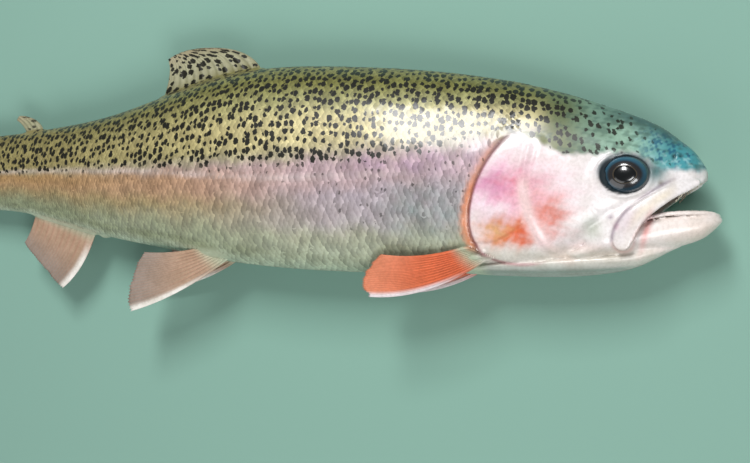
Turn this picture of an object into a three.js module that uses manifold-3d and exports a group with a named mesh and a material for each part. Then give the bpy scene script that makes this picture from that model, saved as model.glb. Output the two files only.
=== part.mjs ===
// A rainbow trout at life size, lying still on its left side, with its mouth ajar and its tail sunk to
// the ground. Millimetres; +X toward the head, +Y toward the back, +Z up, which is the fish's right side.
//
// The fish is shaped straight, in fish space: s runs back from the tip of the upper jaw, y is the height
// above that tip toward the back, z is the distance from the mid-plane toward the right side.
// The pose then sinks the mid-plane toward the ground along the body and presses small flats into it.
import * as THREE from "three";
import { mergeVertices } from "three/addons/utils/BufferGeometryUtils.js";
import Module from "manifold-3d";

const wasm = await Module();
wasm.setup();

// Driving sizes, along the fish from the tip of the upper jaw
const TAIL_ROOT = 335; // standard length
const STALK_END = 342; // where the tail stalk runs out between the rays of the tail fin
const TOTAL_LENGTH = 387;
const HEAD_JOINT = 64; // the head solid ends here, under the gill covers
const DORSAL_JOINT = 172; // trunk_front | trunk_rear, at the front of the dorsal fin
const VENT_JOINT = 246; // trunk_rear | tail_stalk, at the front of the anal fin
const GAP = 0.3; // between neighbouring solids
const FLAT_DEPTH = 1.0; // how deep the ground presses into the flank
const SIDES = 26; // points round a body section

// ---------------------------------------------------------------- curves and sections

// A smooth curve through a few stations [s, value], flat beyond both ends.
function through(stations) {
  const slopeAt = (i) => {
    const [a, b] = [stations[Math.max(i - 1, 0)], stations[Math.min(i + 1, stations.length - 1)]];
    return (b[1] - a[1]) / (b[0] - a[0]);
  };
  return (s) => {
    const last = stations.length - 1;
    if (s <= stations[0][0]) return stations[0][1];
    if (s >= stations[last][0]) return stations[last][1];
    const i = stations.findIndex(([at]) => at > s) - 1;
    const [s0, v0] = stations[i];
    const [s1, v1] = stations[i + 1];
    const step = s1 - s0;
    const t = (s - s0) / step;
    const blend = t * t * (3 - 2 * t);
    const ease0 = t * (1 - t) * (1 - t) * step * slopeAt(i);
    const ease1 = t * t * (t - 1) * step * slopeAt(i + 1);
    return v0 + (v1 - v0) * blend + ease0 + ease1;
  };
}

const smoothstep = (a, b, v) => THREE.MathUtils.smoothstep(v, a, b);
const lerp = THREE.MathUtils.lerp;

// The quarter circle by which a blunt end of the given radius opens out.
const roundEnd = (distance, radius) =>
  Math.sqrt(Math.max(1 - (1 - Math.min(Math.max(distance / radius, 0), 1)) ** 2, 0.0004));

// A form lofted along s: top and bottom lines, half width, the level where it is widest, and the
// squareness of its upper and lower halves (2 is an ellipse).
const BODY = {
  top: through([
    [0, 2.8], [3.4, 5.7], [7.2, 8.7], [16, 15.4], [30, 21.6], [50, 28.7], [72, 34.4], [96, 38.6],
    [132, 42.2], [163, 43.4], [188, 40.8], [214, 33.8], [238, 27.6], [262, 24], [300, 21.2],
    [320, 21.6], [335, 23.2], [342, 23.4],
  ]),
  bottom: through([
    [0, -4.2], [6, -6.3], [14, -9.6], [24, -14.4], [32, -19.4], [38, -25.4], [46, -31.2], [58, -35.4],
    [74, -36.8], [96, -37.2], [125, -37.2], [150, -36.4], [172, -34.8], [190, -32.6], [210, -29],
    [234, -25], [250, -21.8], [266, -17.8], [282, -14.2], [300, -12.2], [320, -12.5], [335, -14.2],
    [342, -14.4],
  ]),
  width: through([
    [0, 5.2], [6, 7.8], [15, 11], [27, 14.4], [42, 17], [58, 18.8], [74, 19.5], [90, 19.9], [112, 20.9],
    [140, 21.6], [165, 21.4], [190, 19.6], [215, 16.6], [240, 13.4], [265, 10.4], [290, 8], [314, 5.9],
    [335, 4], [342, 1.6],
  ]),
  middle: through([[0, -1.8], [14, -4], [30, -7], [60, -8], [86, -4], [120, 0], [190, 4], [335, 4.6]]),
  squareUp: through([[0, 2], [20, 2.3], [50, 2.2], [90, 2], [342, 2]]),
  squareDown: through([[0, 2], [20, 2.6], [45, 2.3], [70, 2], [140, 2.2], [342, 2]]),
  noseAt: 0,
  noseRadius: 6,
};

const JAW = {
  top: through([[-4.8, -15.2], [0, -14.6], [12, -14.7], [24, -17.2], [36, -22], [44, -27]]),
  bottom: through([[-4.8, -19.4], [-2, -21.6], [4, -24.9], [14.7, -27.8], [27, -30.2], [44, -32.4]]),
  width: through([[-4.8, 4.6], [0, 6], [6, 7.6], [16, 9.8], [28, 11.4], [44, 12.6]]),
  middle: through([[-4.8, -17.6], [4, -19], [16, -20.4], [44, -29]]),
  squareUp: () => 2.4,
  squareDown: () => 2.1,
  noseAt: -4.8,
  noseRadius: 5,
};
const JAW_END = 43;
const JAW_SIDES = 20;

const THROAT = {
  top: through([[9, -25], [18, -26.4], [30, -28], [45, -30], [80, -32]]),
  bottom: through([[9, -28.4], [18, -31.8], [28, -35.2], [42, -37.2], [56, -37.8], [70, -37.6], [80, -37.4]]),
  width: through([[9, 4.6], [20, 8], [35, 10], [55, 11.2], [80, 10.6]]),
  middle: through([[9, -26.6], [30, -30.8], [80, -34]]),
  squareUp: () => 2,
  squareDown: () => 2,
  noseAt: 9,
  noseRadius: 8,
};
const THROAT_END = 79;
const THROAT_SIDES = 16;

// One closed ring of a form at s, grown by the given amount (or shrunk, when negative).
function ring(form, s, grow, sides) {
  const nose = roundEnd(s - form.noseAt + Math.max(grow, 0), form.noseRadius);
  const middle = form.middle(s);
  const rise = (form.top(s) - middle) * nose + grow;
  const fall = (middle - form.bottom(s)) * nose + grow;
  const half = form.width(s) * nose + grow;
  const points = [];
  for (let k = 0; k < sides; k++) {
    const angle = (2 * Math.PI * (k + 0.5)) / sides;
    const up = Math.sin(angle);
    const out = Math.cos(angle);
    const power = 2 / (up > 0 ? form.squareUp(s) : form.squareDown(s));
    const y = middle + (up > 0 ? rise : fall) * Math.sign(up) * Math.abs(up) ** power;
    const z = half * Math.sign(out) * Math.abs(out) ** power;
    points.push(new THREE.Vector3(-s, y, z));
  }
  return points;
}

// Places along s from one end to the other, crowded toward a blunt nose.
function places(from, to, count, crowd) {
  return Array.from({ length: count + 1 }, (_, i) => lerp(from, to, (i / count) ** crowd));
}

// ---------------------------------------------------------------- closed meshes and solids

// A closed geometry from rings of equal length, with a fan over each end, facing out.
function skinOf(rings) {
  const n = rings[0].length;
  const points = rings.flat();
  const faces = [];
  for (let i = 0; i + 1 < rings.length; i++)
    for (let k = 0; k < n; k++) {
      const [a, b] = [i * n + k, i * n + ((k + 1) % n)];
      faces.push(a, a + n, b, b, a + n, b + n);
    }
  for (const [first, flip] of [[0, false], [(rings.length - 1) * n, true]]) {
    const centre = new THREE.Vector3();
    for (let k = 0; k < n; k++) centre.addScaledVector(points[first + k], 1 / n);
    points.push(centre);
    for (let k = 0; k < n; k++) {
      const [a, b] = [first + k, first + ((k + 1) % n)];
      faces.push(points.length - 1, flip ? b : a, flip ? a : b);
    }
  }
  return closed(points, faces);
}

function closed(points, faces) {
  const geometry = new THREE.BufferGeometry().setFromPoints(points);
  geometry.setIndex(signedVolume(points, faces) < 0 ? faces.toReversed() : faces);
  return geometry;
}

function signedVolume(points, faces) {
  let sum = 0;
  for (let i = 0; i < faces.length; i += 3) {
    const [a, b, c] = [points[faces[i]], points[faces[i + 1]], points[faces[i + 2]]];
    sum += a.dot(b.clone().cross(c)) / 6;
  }
  return sum;
}

function solid(geometry) {
  const bare = geometry.clone();
  bare.deleteAttribute("normal");
  bare.deleteAttribute("uv");
  const merged = mergeVertices(bare, 1e-4);
  return new wasm.Manifold(
    new wasm.Mesh({
      numProp: 3,
      vertProperties: merged.getAttribute("position").array,
      triVerts: new Uint32Array(merged.index.array),
    }),
  );
}

function geometryOf(manifold) {
  const mesh = manifold.getMesh();
  const geometry = new THREE.BufferGeometry();
  geometry.setAttribute("position", new THREE.BufferAttribute(mesh.vertProperties, 3));
  geometry.setIndex(new THREE.BufferAttribute(mesh.triVerts, 1));
  return geometry;
}

const loft = (form, stations, grow = 0, sides = SIDES) =>
  solid(skinOf(stations.map((s) => ring(form, s, grow, sides))));

// A right prism over an outline in the side view, from one z to another. Outlines are [s, y].
function prism(outline, zFrom, zTo) {
  const shape = new THREE.Shape(outline.map(([s, y]) => new THREE.Vector2(-s, y)));
  const geometry = new THREE.ExtrudeGeometry(shape, { depth: zTo - zFrom, bevelEnabled: false });
  return solid(geometry.translate(0, 0, zFrom));
}

// The outline of a smooth closed curve through a few points, pushed out by grow.
function smoothOutline(knots, count, grow = 0) {
  const curve = new THREE.CatmullRomCurve3(knots.map(([s, y]) => new THREE.Vector3(s, y, 0)), true);
  return Array.from({ length: count }, (_, i) => {
    const at = curve.getPoint(i / count);
    const along = curve.getTangent(i / count);
    return [at.x - grow * along.y, at.y + grow * along.x];
  });
}

const mirrored = (manifold) => {
  const mesh = manifold.getMesh();
  const geometry = geometryOf(manifold);
  geometry.scale(1, 1, -1);
  geometry.setIndex([...mesh.triVerts].reverse());
  return solid(geometry);
};

// ---------------------------------------------------------------- head

const headStations = [...places(0, 12, 5, 1.8), 18, 24, 30, 36, 43, 50, 57, HEAD_JOINT];
const jawStations = [...places(-4.8, 4, 4, 1.8), 10, 18, 26, 35, JAW_END];
const throatStations = [...places(9, 18, 3, 1.6), 26, 38, 50, 64, THROAT_END];
const coverStations = [44, 52, 60, 68, 76, 84];
const COVER_SIDES = 22;

// A long bowl hollowed into the palate or the floor of the mouth. Its rim runs a little over a line
// of the form, it leaves a wall at each side, and shrink makes it smaller all round.
const PALATE = { line: BODY.bottom, over: 1, depth: 5.2, wall: 3, from: 2.6, to: 40 };
const MOUTH_FLOOR = { line: JAW.top, over: 0.4, depth: 5.4, wall: 2.8, from: -1.6, to: 36 };
const GULLET = { line: JAW.top, over: 1.5, depth: 5, wall: 3, from: 24, to: 44 };
const BOWL_SIDES = 14;

function mouthBowl(form, bowl, shrink = 0) {
  const rings = places(bowl.from + shrink, bowl.to - shrink, 6, 1).map((s) => {
    const ends = roundEnd(s - bowl.from, 6) * roundEnd(bowl.to - s, 9);
    const half = (form.width(s) - bowl.wall - shrink) * ends;
    const deep = (bowl.depth - shrink) * ends;
    return Array.from({ length: BOWL_SIDES }, (_, k) => {
      const angle = (2 * Math.PI * (k + 0.5)) / BOWL_SIDES;
      return new THREE.Vector3(-s, bowl.line(s) + bowl.over + deep * Math.sin(angle), half * Math.cos(angle));
    });
  });
  return solid(skinOf(rings));
}

// The eyeball: a flattened ball in its socket, its centre a little under the surface of the cheek.
const EYE = { s: 26.8, y: -1.9, halfLength: 8.6, halfHeight: 7, halfDepth: 5.3, sunk: 2.5 };

function widthAt(form, s, y) {
  const middle = form.middle(s);
  const up = y > middle;
  const share = Math.abs(y - middle) / (up ? form.top(s) - middle : middle - form.bottom(s));
  const power = up ? form.squareUp(s) : form.squareDown(s);
  return form.width(s) * (1 - Math.min(share, 1) ** power) ** (1 / power);
}

function eyeball(grow) {
  const ball = new THREE.SphereGeometry(1, 16, 10);
  ball.rotateX(Math.PI / 2);
  ball.scale(EYE.halfLength + grow, EYE.halfHeight + grow, EYE.halfDepth + grow);
  return solid(ball.translate(-EYE.s, EYE.y, widthAt(BODY, EYE.s, EYE.y) - EYE.sunk));
}

// The gill cover: preopercle, opercle and the plates under it, as one shell standing a little proud
// of the shoulder behind it.
const COVER_KNOTS = [
  [53, 11], [63.5, 13.4], [70.6, 8], [77, -3], [80.2, -15.5], [79.2, -25], [73.4, -31.4], [62, -33.2],
  [52, -30.5], [49.5, -18], [50.5, -3],
];
const COVER_PROUD = 0.7;
const COVER_THICK = 2.2;

function gillCover() {
  const plate = prism(smoothOutline(COVER_KNOTS, 28), 5, 40);
  const outside = loft(BODY, coverStations, COVER_PROUD, COVER_SIDES);
  const inside = loft(BODY, coverStations, COVER_PROUD - COVER_THICK, COVER_SIDES);
  return plate.intersect(outside).subtract(inside);
}

function gillCoverBed() {
  const plate = prism(smoothOutline(COVER_KNOTS, 28, GAP), 5 - GAP, 40);
  return plate.subtract(loft(BODY, coverStations, COVER_PROUD - COVER_THICK - GAP, COVER_SIDES));
}

// The upper jaw bone: a bowed paddle from the side of the snout down to the corner of the mouth.
const MAXILLA = new THREE.CatmullRomCurve3([
  new THREE.Vector3(-3.4, -4.7, 6.6),
  new THREE.Vector3(-10.4, -7.4, 9.9),
  new THREE.Vector3(-17, -11.4, 12),
  new THREE.Vector3(-23, -16.2, 13.2),
  new THREE.Vector3(-26.6, -21.2, 13.1),
  new THREE.Vector3(-28.2, -27.4, 12),
]);
const maxillaHalfWidth = through([[0, 1.2], [0.12, 2.1], [0.45, 3.1], [0.75, 4.2], [0.92, 3.9], [1, 1.4]]);

function maxilla() {
  const rings = places(0, 1, 9, 1).map((t) => {
    const centre = MAXILLA.getPoint(t);
    const along = MAXILLA.getTangent(t).normalize();
    const across = new THREE.Vector3(0, 0, 1).cross(along).normalize();
    const out = along.clone().cross(across).normalize();
    return Array.from({ length: 10 }, (_, k) => {
      const angle = (2 * Math.PI * k) / 10;
      return centre
        .clone()
        .addScaledVector(across, maxillaHalfWidth(t) * Math.cos(angle))
        .addScaledVector(out, 1.3 * Math.sin(angle));
    });
  });
  return solid(skinOf(rings));
}

// The tongue, resting in the floor of the mouth.
function tongue() {
  const ball = new THREE.SphereGeometry(1, 12, 8);
  ball.rotateZ(Math.PI / 2);
  ball.scale(11, 2, 4.2);
  ball.rotateZ(0.14);
  return solid(ball.translate(-15, -16.9, 0));
}

const jawForm = loft(JAW, jawStations, 0, JAW_SIDES);
const jawClear = loft(JAW, jawStations, GAP, JAW_SIDES);
const throatForm = loft(THROAT, throatStations, 0, THROAT_SIDES);
const throatClear = loft(THROAT, throatStations, GAP, THROAT_SIDES);
const coverBed = gillCoverBed();
const bothBeds = coverBed.add(mirrored(coverBed));
const bothSockets = eyeball(GAP).add(mirrored(eyeball(GAP)));

const parts = new Map();
parts.set(
  "head",
  loft(BODY, headStations)
    .subtract(jawClear)
    .subtract(throatClear)
    .subtract(mouthBowl(BODY, PALATE))
    .subtract(mouthBowl(JAW, GULLET))
    .subtract(bothBeds)
    .subtract(bothSockets),
);
parts.set("lower_jaw", jawForm.subtract(mouthBowl(JAW, MOUTH_FLOOR)));
parts.set("throat", throatForm.subtract(jawClear).subtract(bothBeds));
const headClear = loft(BODY, headStations, GAP);
const maxillaRight = maxilla().subtract(headClear).subtract(jawClear);
parts.set("maxilla_right", maxillaRight);
parts.set("maxilla_left", mirrored(maxillaRight));
parts.set("gill_cover_right", gillCover());
parts.set("gill_cover_left", mirrored(gillCover()));
parts.set("eye_right", eyeball(0));
parts.set("eye_left", mirrored(eyeball(0)));
parts.set("tongue", tongue().subtract(jawClear.subtract(mouthBowl(JAW, MOUTH_FLOOR, GAP))));

// ---------------------------------------------------------------- trunk and tail stalk

const frontStations = places(HEAD_JOINT + GAP, DORSAL_JOINT, 9, 1);
const rearStations = places(DORSAL_JOINT + GAP, VENT_JOINT, 7, 1);
const stalkStations = [...places(VENT_JOINT + GAP, TAIL_ROOT, 9, 1), 339, STALK_END];
parts.set("trunk_front", loft(BODY, frontStations).subtract(throatClear).subtract(bothBeds));
parts.set("trunk_rear", loft(BODY, rearStations));
parts.set("tail_stalk", loft(BODY, stalkStations));
const trunkStations = [...frontStations, ...rearStations, ...stalkStations];
const trunkClear = loft(BODY, trunkStations, GAP);

// ---------------------------------------------------------------- fins

// A fin: rays run from the root line to the free edge, bowed by an amount that fades from the first
// ray to the last, as a plate that thins toward the edge. Points are [s, y, z].
function fin({ root, edge, bow = [0, 0, 0], thickRoot = 1.6, thickEdge = 0.6, rays = 9, steps = 5 }) {
  const lineOf = (knots) =>
    new THREE.CatmullRomCurve3(knots.map(([s, y, z]) => new THREE.Vector3(-s, y, z)));
  const rootLine = lineOf(root);
  const edgeLine = lineOf(edge);
  const bowed = new THREE.Vector3(-bow[0], bow[1], bow[2]);
  const at = (u, v) =>
    rootLine
      .getPoint(u)
      .lerp(edgeLine.getPoint(u), v)
      .addScaledVector(bowed, 4 * v * (1 - v) * (1 - 0.6 * u));
  const rings = places(0, 1, steps, 1).map((v) => {
    const half = lerp(thickRoot, thickEdge, v ** 0.7) / 2;
    const row = places(0, 1, rays, 1).map((u) => {
      const across = at(Math.min(u + 0.02, 1), v).sub(at(Math.max(u - 0.02, 0), v));
      const along = at(u, Math.min(v + 0.02, 1)).sub(at(u, Math.max(v - 0.02, 0)));
      return { point: at(u, v), normal: across.cross(along).normalize() };
    });
    const front = row.map(({ point, normal }) => point.clone().addScaledVector(normal, half));
    const back = row.map(({ point, normal }) => point.clone().addScaledVector(normal, -half));
    return [...front, ...back.reverse()];
  });
  return solid(ribbonSkin(rings, rays + 1));
}

// A closed geometry from flat rings whose first half is one face and second half the other.
function ribbonSkin(rings, width) {
  const points = rings.flat();
  const n = 2 * width;
  const faces = [];
  for (let i = 0; i + 1 < rings.length; i++)
    for (let k = 0; k < n; k++) {
      const [a, b] = [i * n + k, i * n + ((k + 1) % n)];
      faces.push(a, a + n, b, b, a + n, b + n);
    }
  const cap = (first, flip) => {
    for (let k = 0; k + 1 < width; k++) {
      const [a, b, c, d] = [first + k, first + k + 1, first + n - 2 - k, first + n - 1 - k];
      faces.push(...(flip ? [a, c, b, a, d, c] : [a, b, c, a, c, d]));
    }
  };
  cap(0, false);
  cap((rings.length - 1) * n, true);
  return closed(points, faces);
}

const biggest = (manifold) =>
  manifold.decompose().reduce((best, one) => (one.volume() > best.volume() ? one : best));
const onBody = (shape) => biggest(shape.subtract(trunkClear));

const backAt = (s, sunk) => [s, BODY.top(s) - sunk, 0];
const bellyAt = (s, sunk) => [s, BODY.bottom(s) + sunk, 0];

parts.set(
  "dorsal_fin",
  onBody(
    fin({
      root: [backAt(169, 2), backAt(184, 2), backAt(200, 2), backAt(215, 2)],
      edge: [[199.4, 53, -1.5], [203.6, 52.7, -1.2], [208.4, 51.6, -1], [212.6, 49.6, -0.6]],
      bow: [-5, 3.4, 0],
      thickRoot: 2,
      rays: 10,
    }),
  ),
);
parts.set(
  "adipose_fin",
  onBody(
    fin({
      root: [backAt(276, 1.5), backAt(281, 1.5), backAt(285, 1.5)],
      edge: [[287, 29.2, 0], [290, 29.4, 0], [291.4, 27.6, 0]],
      bow: [-2.4, 1, 0],
      thickRoot: 2.2,
      thickEdge: 1,
      rays: 5,
      steps: 4,
    }),
  ),
);
parts.set(
  "anal_fin",
  onBody(
    fin({
      root: [bellyAt(247.5, 2), bellyAt(259, 2), bellyAt(270, 2), bellyAt(280, 2)],
      edge: [[268, -46, -2.5], [274, -41, -2.2], [281, -34, -1.6], [288, -26.5, -1]],
      bow: [-1.5, -2.5, 0],
      thickRoot: 1.8,
    }),
  ),
);
const TAIL_SPREAD = 35;
const TAIL_MIDDLE = 4.4;
const tailEdge = (share) => {
  const reach = TOTAL_LENGTH - 15 * (1 - Math.abs(share) ** 1.6) - 1.5 * Math.abs(share) ** 12;
  return [reach, TAIL_MIDDLE + TAIL_SPREAD * Math.sign(share) * Math.abs(share) ** 0.9, 0];
};
parts.set(
  "tail_fin",
  onBody(
    fin({
      root: [22.6, 14, 4.4, -5.2, -13.8].map((y) => [STALK_END - 1, y, 0]),
      edge: places(1, -1, 10, 1).map(tailEdge),
      thickRoot: 2.4,
      thickEdge: 0.7,
      rays: 16,
      steps: 4,
    }),
  ),
);

// The paired fins of the right side are held a little off the body. Those of the left side are laid
// down toward the ground.
const pectoral = (lay) =>
  fin({
    root: [[75.5, -31.6, 12 + lay * 0.2], [79.5, -29.6, 14.6], [83.5, -27, 16.4]],
    edge: [
      [119.5, -45.4, 14.5 + lay], [121.5, -41, 15.6 + lay], [119.4, -35, 16.8 + lay],
      [113.5, -29.6, 18 + lay * 0.7],
    ],
    bow: [0, -4.2, lay * 0.3],
    thickRoot: 2.2,
    rays: 8,
  });
const pelvic = (lay, fold) =>
  fin({
    root: [[181, -31.8, 5.2], [186, -29.8, 6.8], [191.5, -27.4, 8.2]],
    edge: [
      [225.6, -54 + fold, 8 + lay], [226.2, -48.4 + fold, 9 + lay], [223.8, -39 + fold * 0.7, 10 + lay],
      [217.6, -29.6 + fold * 0.3, 10.6 + lay * 0.6],
    ],
    bow: [0, -2.6, lay * 0.3],
    thickRoot: 2.2,
    rays: 8,
  });
parts.set("pectoral_fin_right", onBody(pectoral(0)));
parts.set("pectoral_fin_left", onBody(mirrored(pectoral(2.6))));
parts.set("pelvic_fin_right", onBody(pelvic(0, 0)));
parts.set("pelvic_fin_left", onBody(mirrored(pelvic(6.5, 8))));

// ---------------------------------------------------------------- pose

const FLANK = BODY.width(145);
const BEND_FROM = 190;
const TAIL_BEND = 1 / 900; // how fast the mid-plane turns down toward the tail, per mm
const TAIL_REST = -0.6; // the level that the bent mid-plane runs out to, so the tail's tips touch down
const TAIL_EASE = 1.2; // how softly it runs out
const HEAD_SINK = 1.5; // how far the narrower head is let down, so that the gill cover rests too

// The height of the mid-plane: level along the trunk, eased down to bring the gill cover to the
// ground, bent down along the tail, and levelling out where the tail fin lies.
function midHeight(s) {
  const headSink = HEAD_SINK * (1 - smoothstep(60, 125, s));
  const back = Math.max(s - BEND_FROM, 0);
  const bent = FLANK - FLAT_DEPTH - headSink - (back * back * TAIL_BEND) / 2;
  return TAIL_REST + TAIL_EASE * Math.log1p(Math.exp((bent - TAIL_REST) / TAIL_EASE));
}

function posed(manifold) {
  const geometry = geometryOf(manifold);
  const position = geometry.getAttribute("position");
  for (let i = 0; i < position.count; i++)
    position.setZ(i, position.getZ(i) + midHeight(-position.getX(i)));
  return solid(geometry);
}

const ground = solid(new THREE.BoxGeometry(900, 400, 60).translate(-200, 0, -30));

// ---------------------------------------------------------------- the scene graph

const LOOKS = {
  head: [0x5f6f66, 0.4, 0.1],
  lower_jaw: [0xdcc8c0, 0.4, 0],
  throat: [0xcfd6c6, 0.4, 0],
  maxilla: [0xe0ccc6, 0.4, 0],
  gill_cover: [0xe0a8a4, 0.35, 0.1],
  eye: [0x10141c, 0.05, 0],
  tongue: [0xc89a92, 0.4, 0],
  trunk: [0x8a9468, 0.35, 0.15],
  tail_stalk: [0x7f8a62, 0.35, 0.15],
  dorsal: [0x8f9a80, 0.5, 0],
  adipose: [0x6f7a58, 0.5, 0],
  anal: [0xc9a894, 0.5, 0],
  tail_fin: [0x7c8468, 0.5, 0],
  pectoral: [0xd79a7c, 0.5, 0],
  pelvic: [0xd0a088, 0.5, 0],
};

const trout = new THREE.Group();
for (const [name, manifold] of parts) {
  const key = Object.keys(LOOKS).find((start) => name.startsWith(start));
  const [color, roughness, metalness] = LOOKS[key];
  const geometry = geometryOf(biggest(posed(manifold).subtract(ground)));
  const mesh = new THREE.Mesh(geometry, new THREE.MeshStandardMaterial({ color, roughness, metalness }));
  mesh.name = name;
  trout.add(mesh);
}

// The origin is under the middle of the whole fish, on the ground.
const box = new THREE.Box3().setFromObject(trout);
const middle = box.getCenter(new THREE.Vector3());
for (const mesh of trout.children) mesh.position.set(-middle.x, -middle.y, -box.min.z);

export default trout;
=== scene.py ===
"""A rainbow trout at life size, lying on its left side with its mouth ajar, built around its solids.

The fish is shaped straight, in millimetres: s runs back from the tip of the upper jaw, y is the
height above that tip toward the back, and z is the distance from the mid-plane toward the right side.
The pose then bends the mid-plane down to the ground and presses the underside flat where it lies.
"""

import math

import bpy
import numpy as np
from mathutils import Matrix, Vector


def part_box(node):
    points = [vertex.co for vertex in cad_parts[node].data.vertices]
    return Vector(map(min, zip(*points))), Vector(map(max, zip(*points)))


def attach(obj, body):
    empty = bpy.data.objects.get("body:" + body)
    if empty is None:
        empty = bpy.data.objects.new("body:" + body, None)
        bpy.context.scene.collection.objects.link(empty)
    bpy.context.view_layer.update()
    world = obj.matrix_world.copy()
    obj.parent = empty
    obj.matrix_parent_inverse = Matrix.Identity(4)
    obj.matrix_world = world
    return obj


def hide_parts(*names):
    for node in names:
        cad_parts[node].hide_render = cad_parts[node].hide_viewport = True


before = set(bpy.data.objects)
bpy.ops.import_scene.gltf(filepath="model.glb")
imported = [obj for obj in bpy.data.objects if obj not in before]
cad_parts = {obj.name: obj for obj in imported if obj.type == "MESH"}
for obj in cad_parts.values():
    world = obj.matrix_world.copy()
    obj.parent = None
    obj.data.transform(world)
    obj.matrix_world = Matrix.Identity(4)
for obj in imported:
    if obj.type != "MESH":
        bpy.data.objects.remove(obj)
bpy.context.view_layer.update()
MM = 0.001

# The camera: it looks down on the fish, which lies on its side, turned a little toward the head, as
# a person would who holds the fish out over water with its right side up.
eye_below_tip = 1.9  # the eye's middle under the jaw's tip
eye_low, eye_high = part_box("eye_right")
jaw_tip_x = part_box("head")[1].x / MM  # where s is 0
jaw_tip_y = (eye_low.y + eye_high.y) / 2 / MM + eye_below_tip
trunk_middle = 20.6  # height of the mid-plane over the ground, along the trunk

camera_turn = math.radians(20)
camera_ahead, camera_below, camera_over = 21.77, 21.36, 394.67  # from the jaw's tip and the mid-plane
camera = bpy.data.objects.new("camera", bpy.data.cameras.new("camera"))
camera.data.lens = 52.8
camera.data.sensor_width = 36
camera.data.clip_start = 0.02
camera.location = (
    (jaw_tip_x + camera_ahead) * MM,
    (jaw_tip_y - camera_below) * MM,
    (trunk_middle + camera_over) * MM,
)
camera.rotation_euler = (0, camera_turn, 0)
bpy.context.scene.collection.objects.link(camera)
bpy.context.scene.camera = camera


# The body's form: flesh over skull and spine. It is lofted along s from its lines in side view and
# in top view, with the lower jaw and the throat as forms of their own, and the mouth as hollows.
def through(*stations):
    """A smooth curve through stations (s, value), flat beyond both ends."""
    at, value = np.array(stations, float).T
    slope = np.empty_like(value)
    slope[1:-1] = (value[2:] - value[:-2]) / (at[2:] - at[:-2])
    slope[0] = (value[1] - value[0]) / (at[1] - at[0])
    slope[-1] = (value[-1] - value[-2]) / (at[-1] - at[-2])

    def curve(s):
        s = np.clip(s, at[0], at[-1])
        i = np.clip(np.searchsorted(at, s, side="right") - 1, 0, len(at) - 2)
        step = at[i + 1] - at[i]
        t = (s - at[i]) / step
        blend = t * t * (3 - 2 * t)
        ease = t * (1 - t) ** 2 * slope[i] + t * t * (t - 1) * slope[i + 1]
        return value[i] + (value[i + 1] - value[i]) * blend + step * ease

    return curve


def round_end(distance, radius):
    """The quarter circle by which a blunt end of the given radius opens out."""
    return np.sqrt(np.maximum(1 - (1 - np.clip(distance / radius, 0, 1)) ** 2, 0.0004))


def rise(a, b, v):
    """Smooth step from 0 at a to 1 at b."""
    t = np.clip((v - a) / (b - a), 0, 1)
    return t * t * (3 - 2 * t)


class Form:
    """A form lofted along the fish: top and bottom lines, half width, the level where it is widest,
    how square its upper and lower halves are (2 is an ellipse), and its rounded ends."""

    def __init__(self, top, bottom, width, middle, up, down, nose, tail=(9999, 1)):
        self.top, self.bottom, self.width, self.middle = top, bottom, width, middle
        self.up, self.down, self.nose, self.tail = up, down, nose, tail

    def level(self, s, y, z):
        """1 on the surface, less inside; and its slopes toward y and z."""
        ends = round_end(s - self.nose[0], self.nose[1]) * round_end(self.tail[0] - s, self.tail[1])
        middle = self.middle(s)
        over = y - middle
        upper = over > 0
        reach = np.where(upper, self.top(s) - middle, middle - self.bottom(s)) * ends
        half = self.width(s) * ends
        power = np.where(upper, self.up(s), self.down(s))
        up_share = np.abs(over) / reach
        out_share = np.abs(z) / half
        a = up_share ** (power - 1)
        b = out_share ** (power - 1)
        q = (a * up_share + b * out_share) ** (1 / power)
        fade = np.maximum(q, 1e-3) ** (1 - power)
        return q, fade * a / reach, fade * b / half

    def gap(self, s, y, z):
        """About how far a point is outside the surface, in mm; negative inside."""
        q, q_up, q_out = self.level(s, y, z)
        step = 0.15
        q_along = (self.level(s + step, y, z)[0] - self.level(s - step, y, z)[0]) / (2 * step)
        near = (q - 1) / np.sqrt(q_up**2 + q_out**2 + q_along**2 + 1e-6)
        far = 0.5 * np.hypot(y - self.middle(s), z) * (1 - 1 / np.maximum(q, 1))
        return near + (np.maximum(near, far) - near) * rise(1.1, 1.6, q)


body = Form(
    top=through(
        (0, 2.8), (3.4, 5.7), (7.2, 8.7), (16, 15.4), (30, 21.6), (50, 28.7), (72, 34.4), (96, 38.6),
        (132, 42.2), (163, 43.4), (188, 40.8), (214, 33.8), (238, 27.6), (262, 24), (300, 21.2),
        (320, 21.6), (335, 23.2), (342, 23.4),
    ),
    bottom=through(
        (0, -4.2), (6, -6.3), (14, -9.6), (24, -14.4), (32, -19.4), (38, -25.4), (46, -31.2),
        (58, -35.4), (74, -36.8), (96, -37.2), (125, -37.2), (150, -36.4), (172, -34.8), (190, -32.6),
        (210, -29), (234, -25), (250, -21.8), (266, -17.8), (282, -14.2), (300, -12.2), (320, -12.5),
        (335, -14.2), (342, -14.4),
    ),
    width=through(
        (0, 5.2), (6, 7.8), (15, 11), (27, 14.4), (42, 17), (58, 18.8), (74, 19.5), (90, 19.9),
        (112, 20.9), (140, 21.6), (165, 21.4), (190, 19.6), (215, 16.6), (240, 13.4), (265, 10.4),
        (290, 8), (314, 5.9), (335, 4), (342, 1.6),
    ),
    middle=through((0, -1.8), (14, -4), (30, -7), (60, -8), (86, -4), (120, 0), (190, 4), (335, 4.6)),
    up=through((0, 2), (20, 2.3), (50, 2.2), (90, 2), (342, 2)),
    down=through((0, 2), (20, 2.6), (45, 2.3), (70, 2), (140, 2.2), (342, 2)),
    nose=(0, 6),
)
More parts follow.
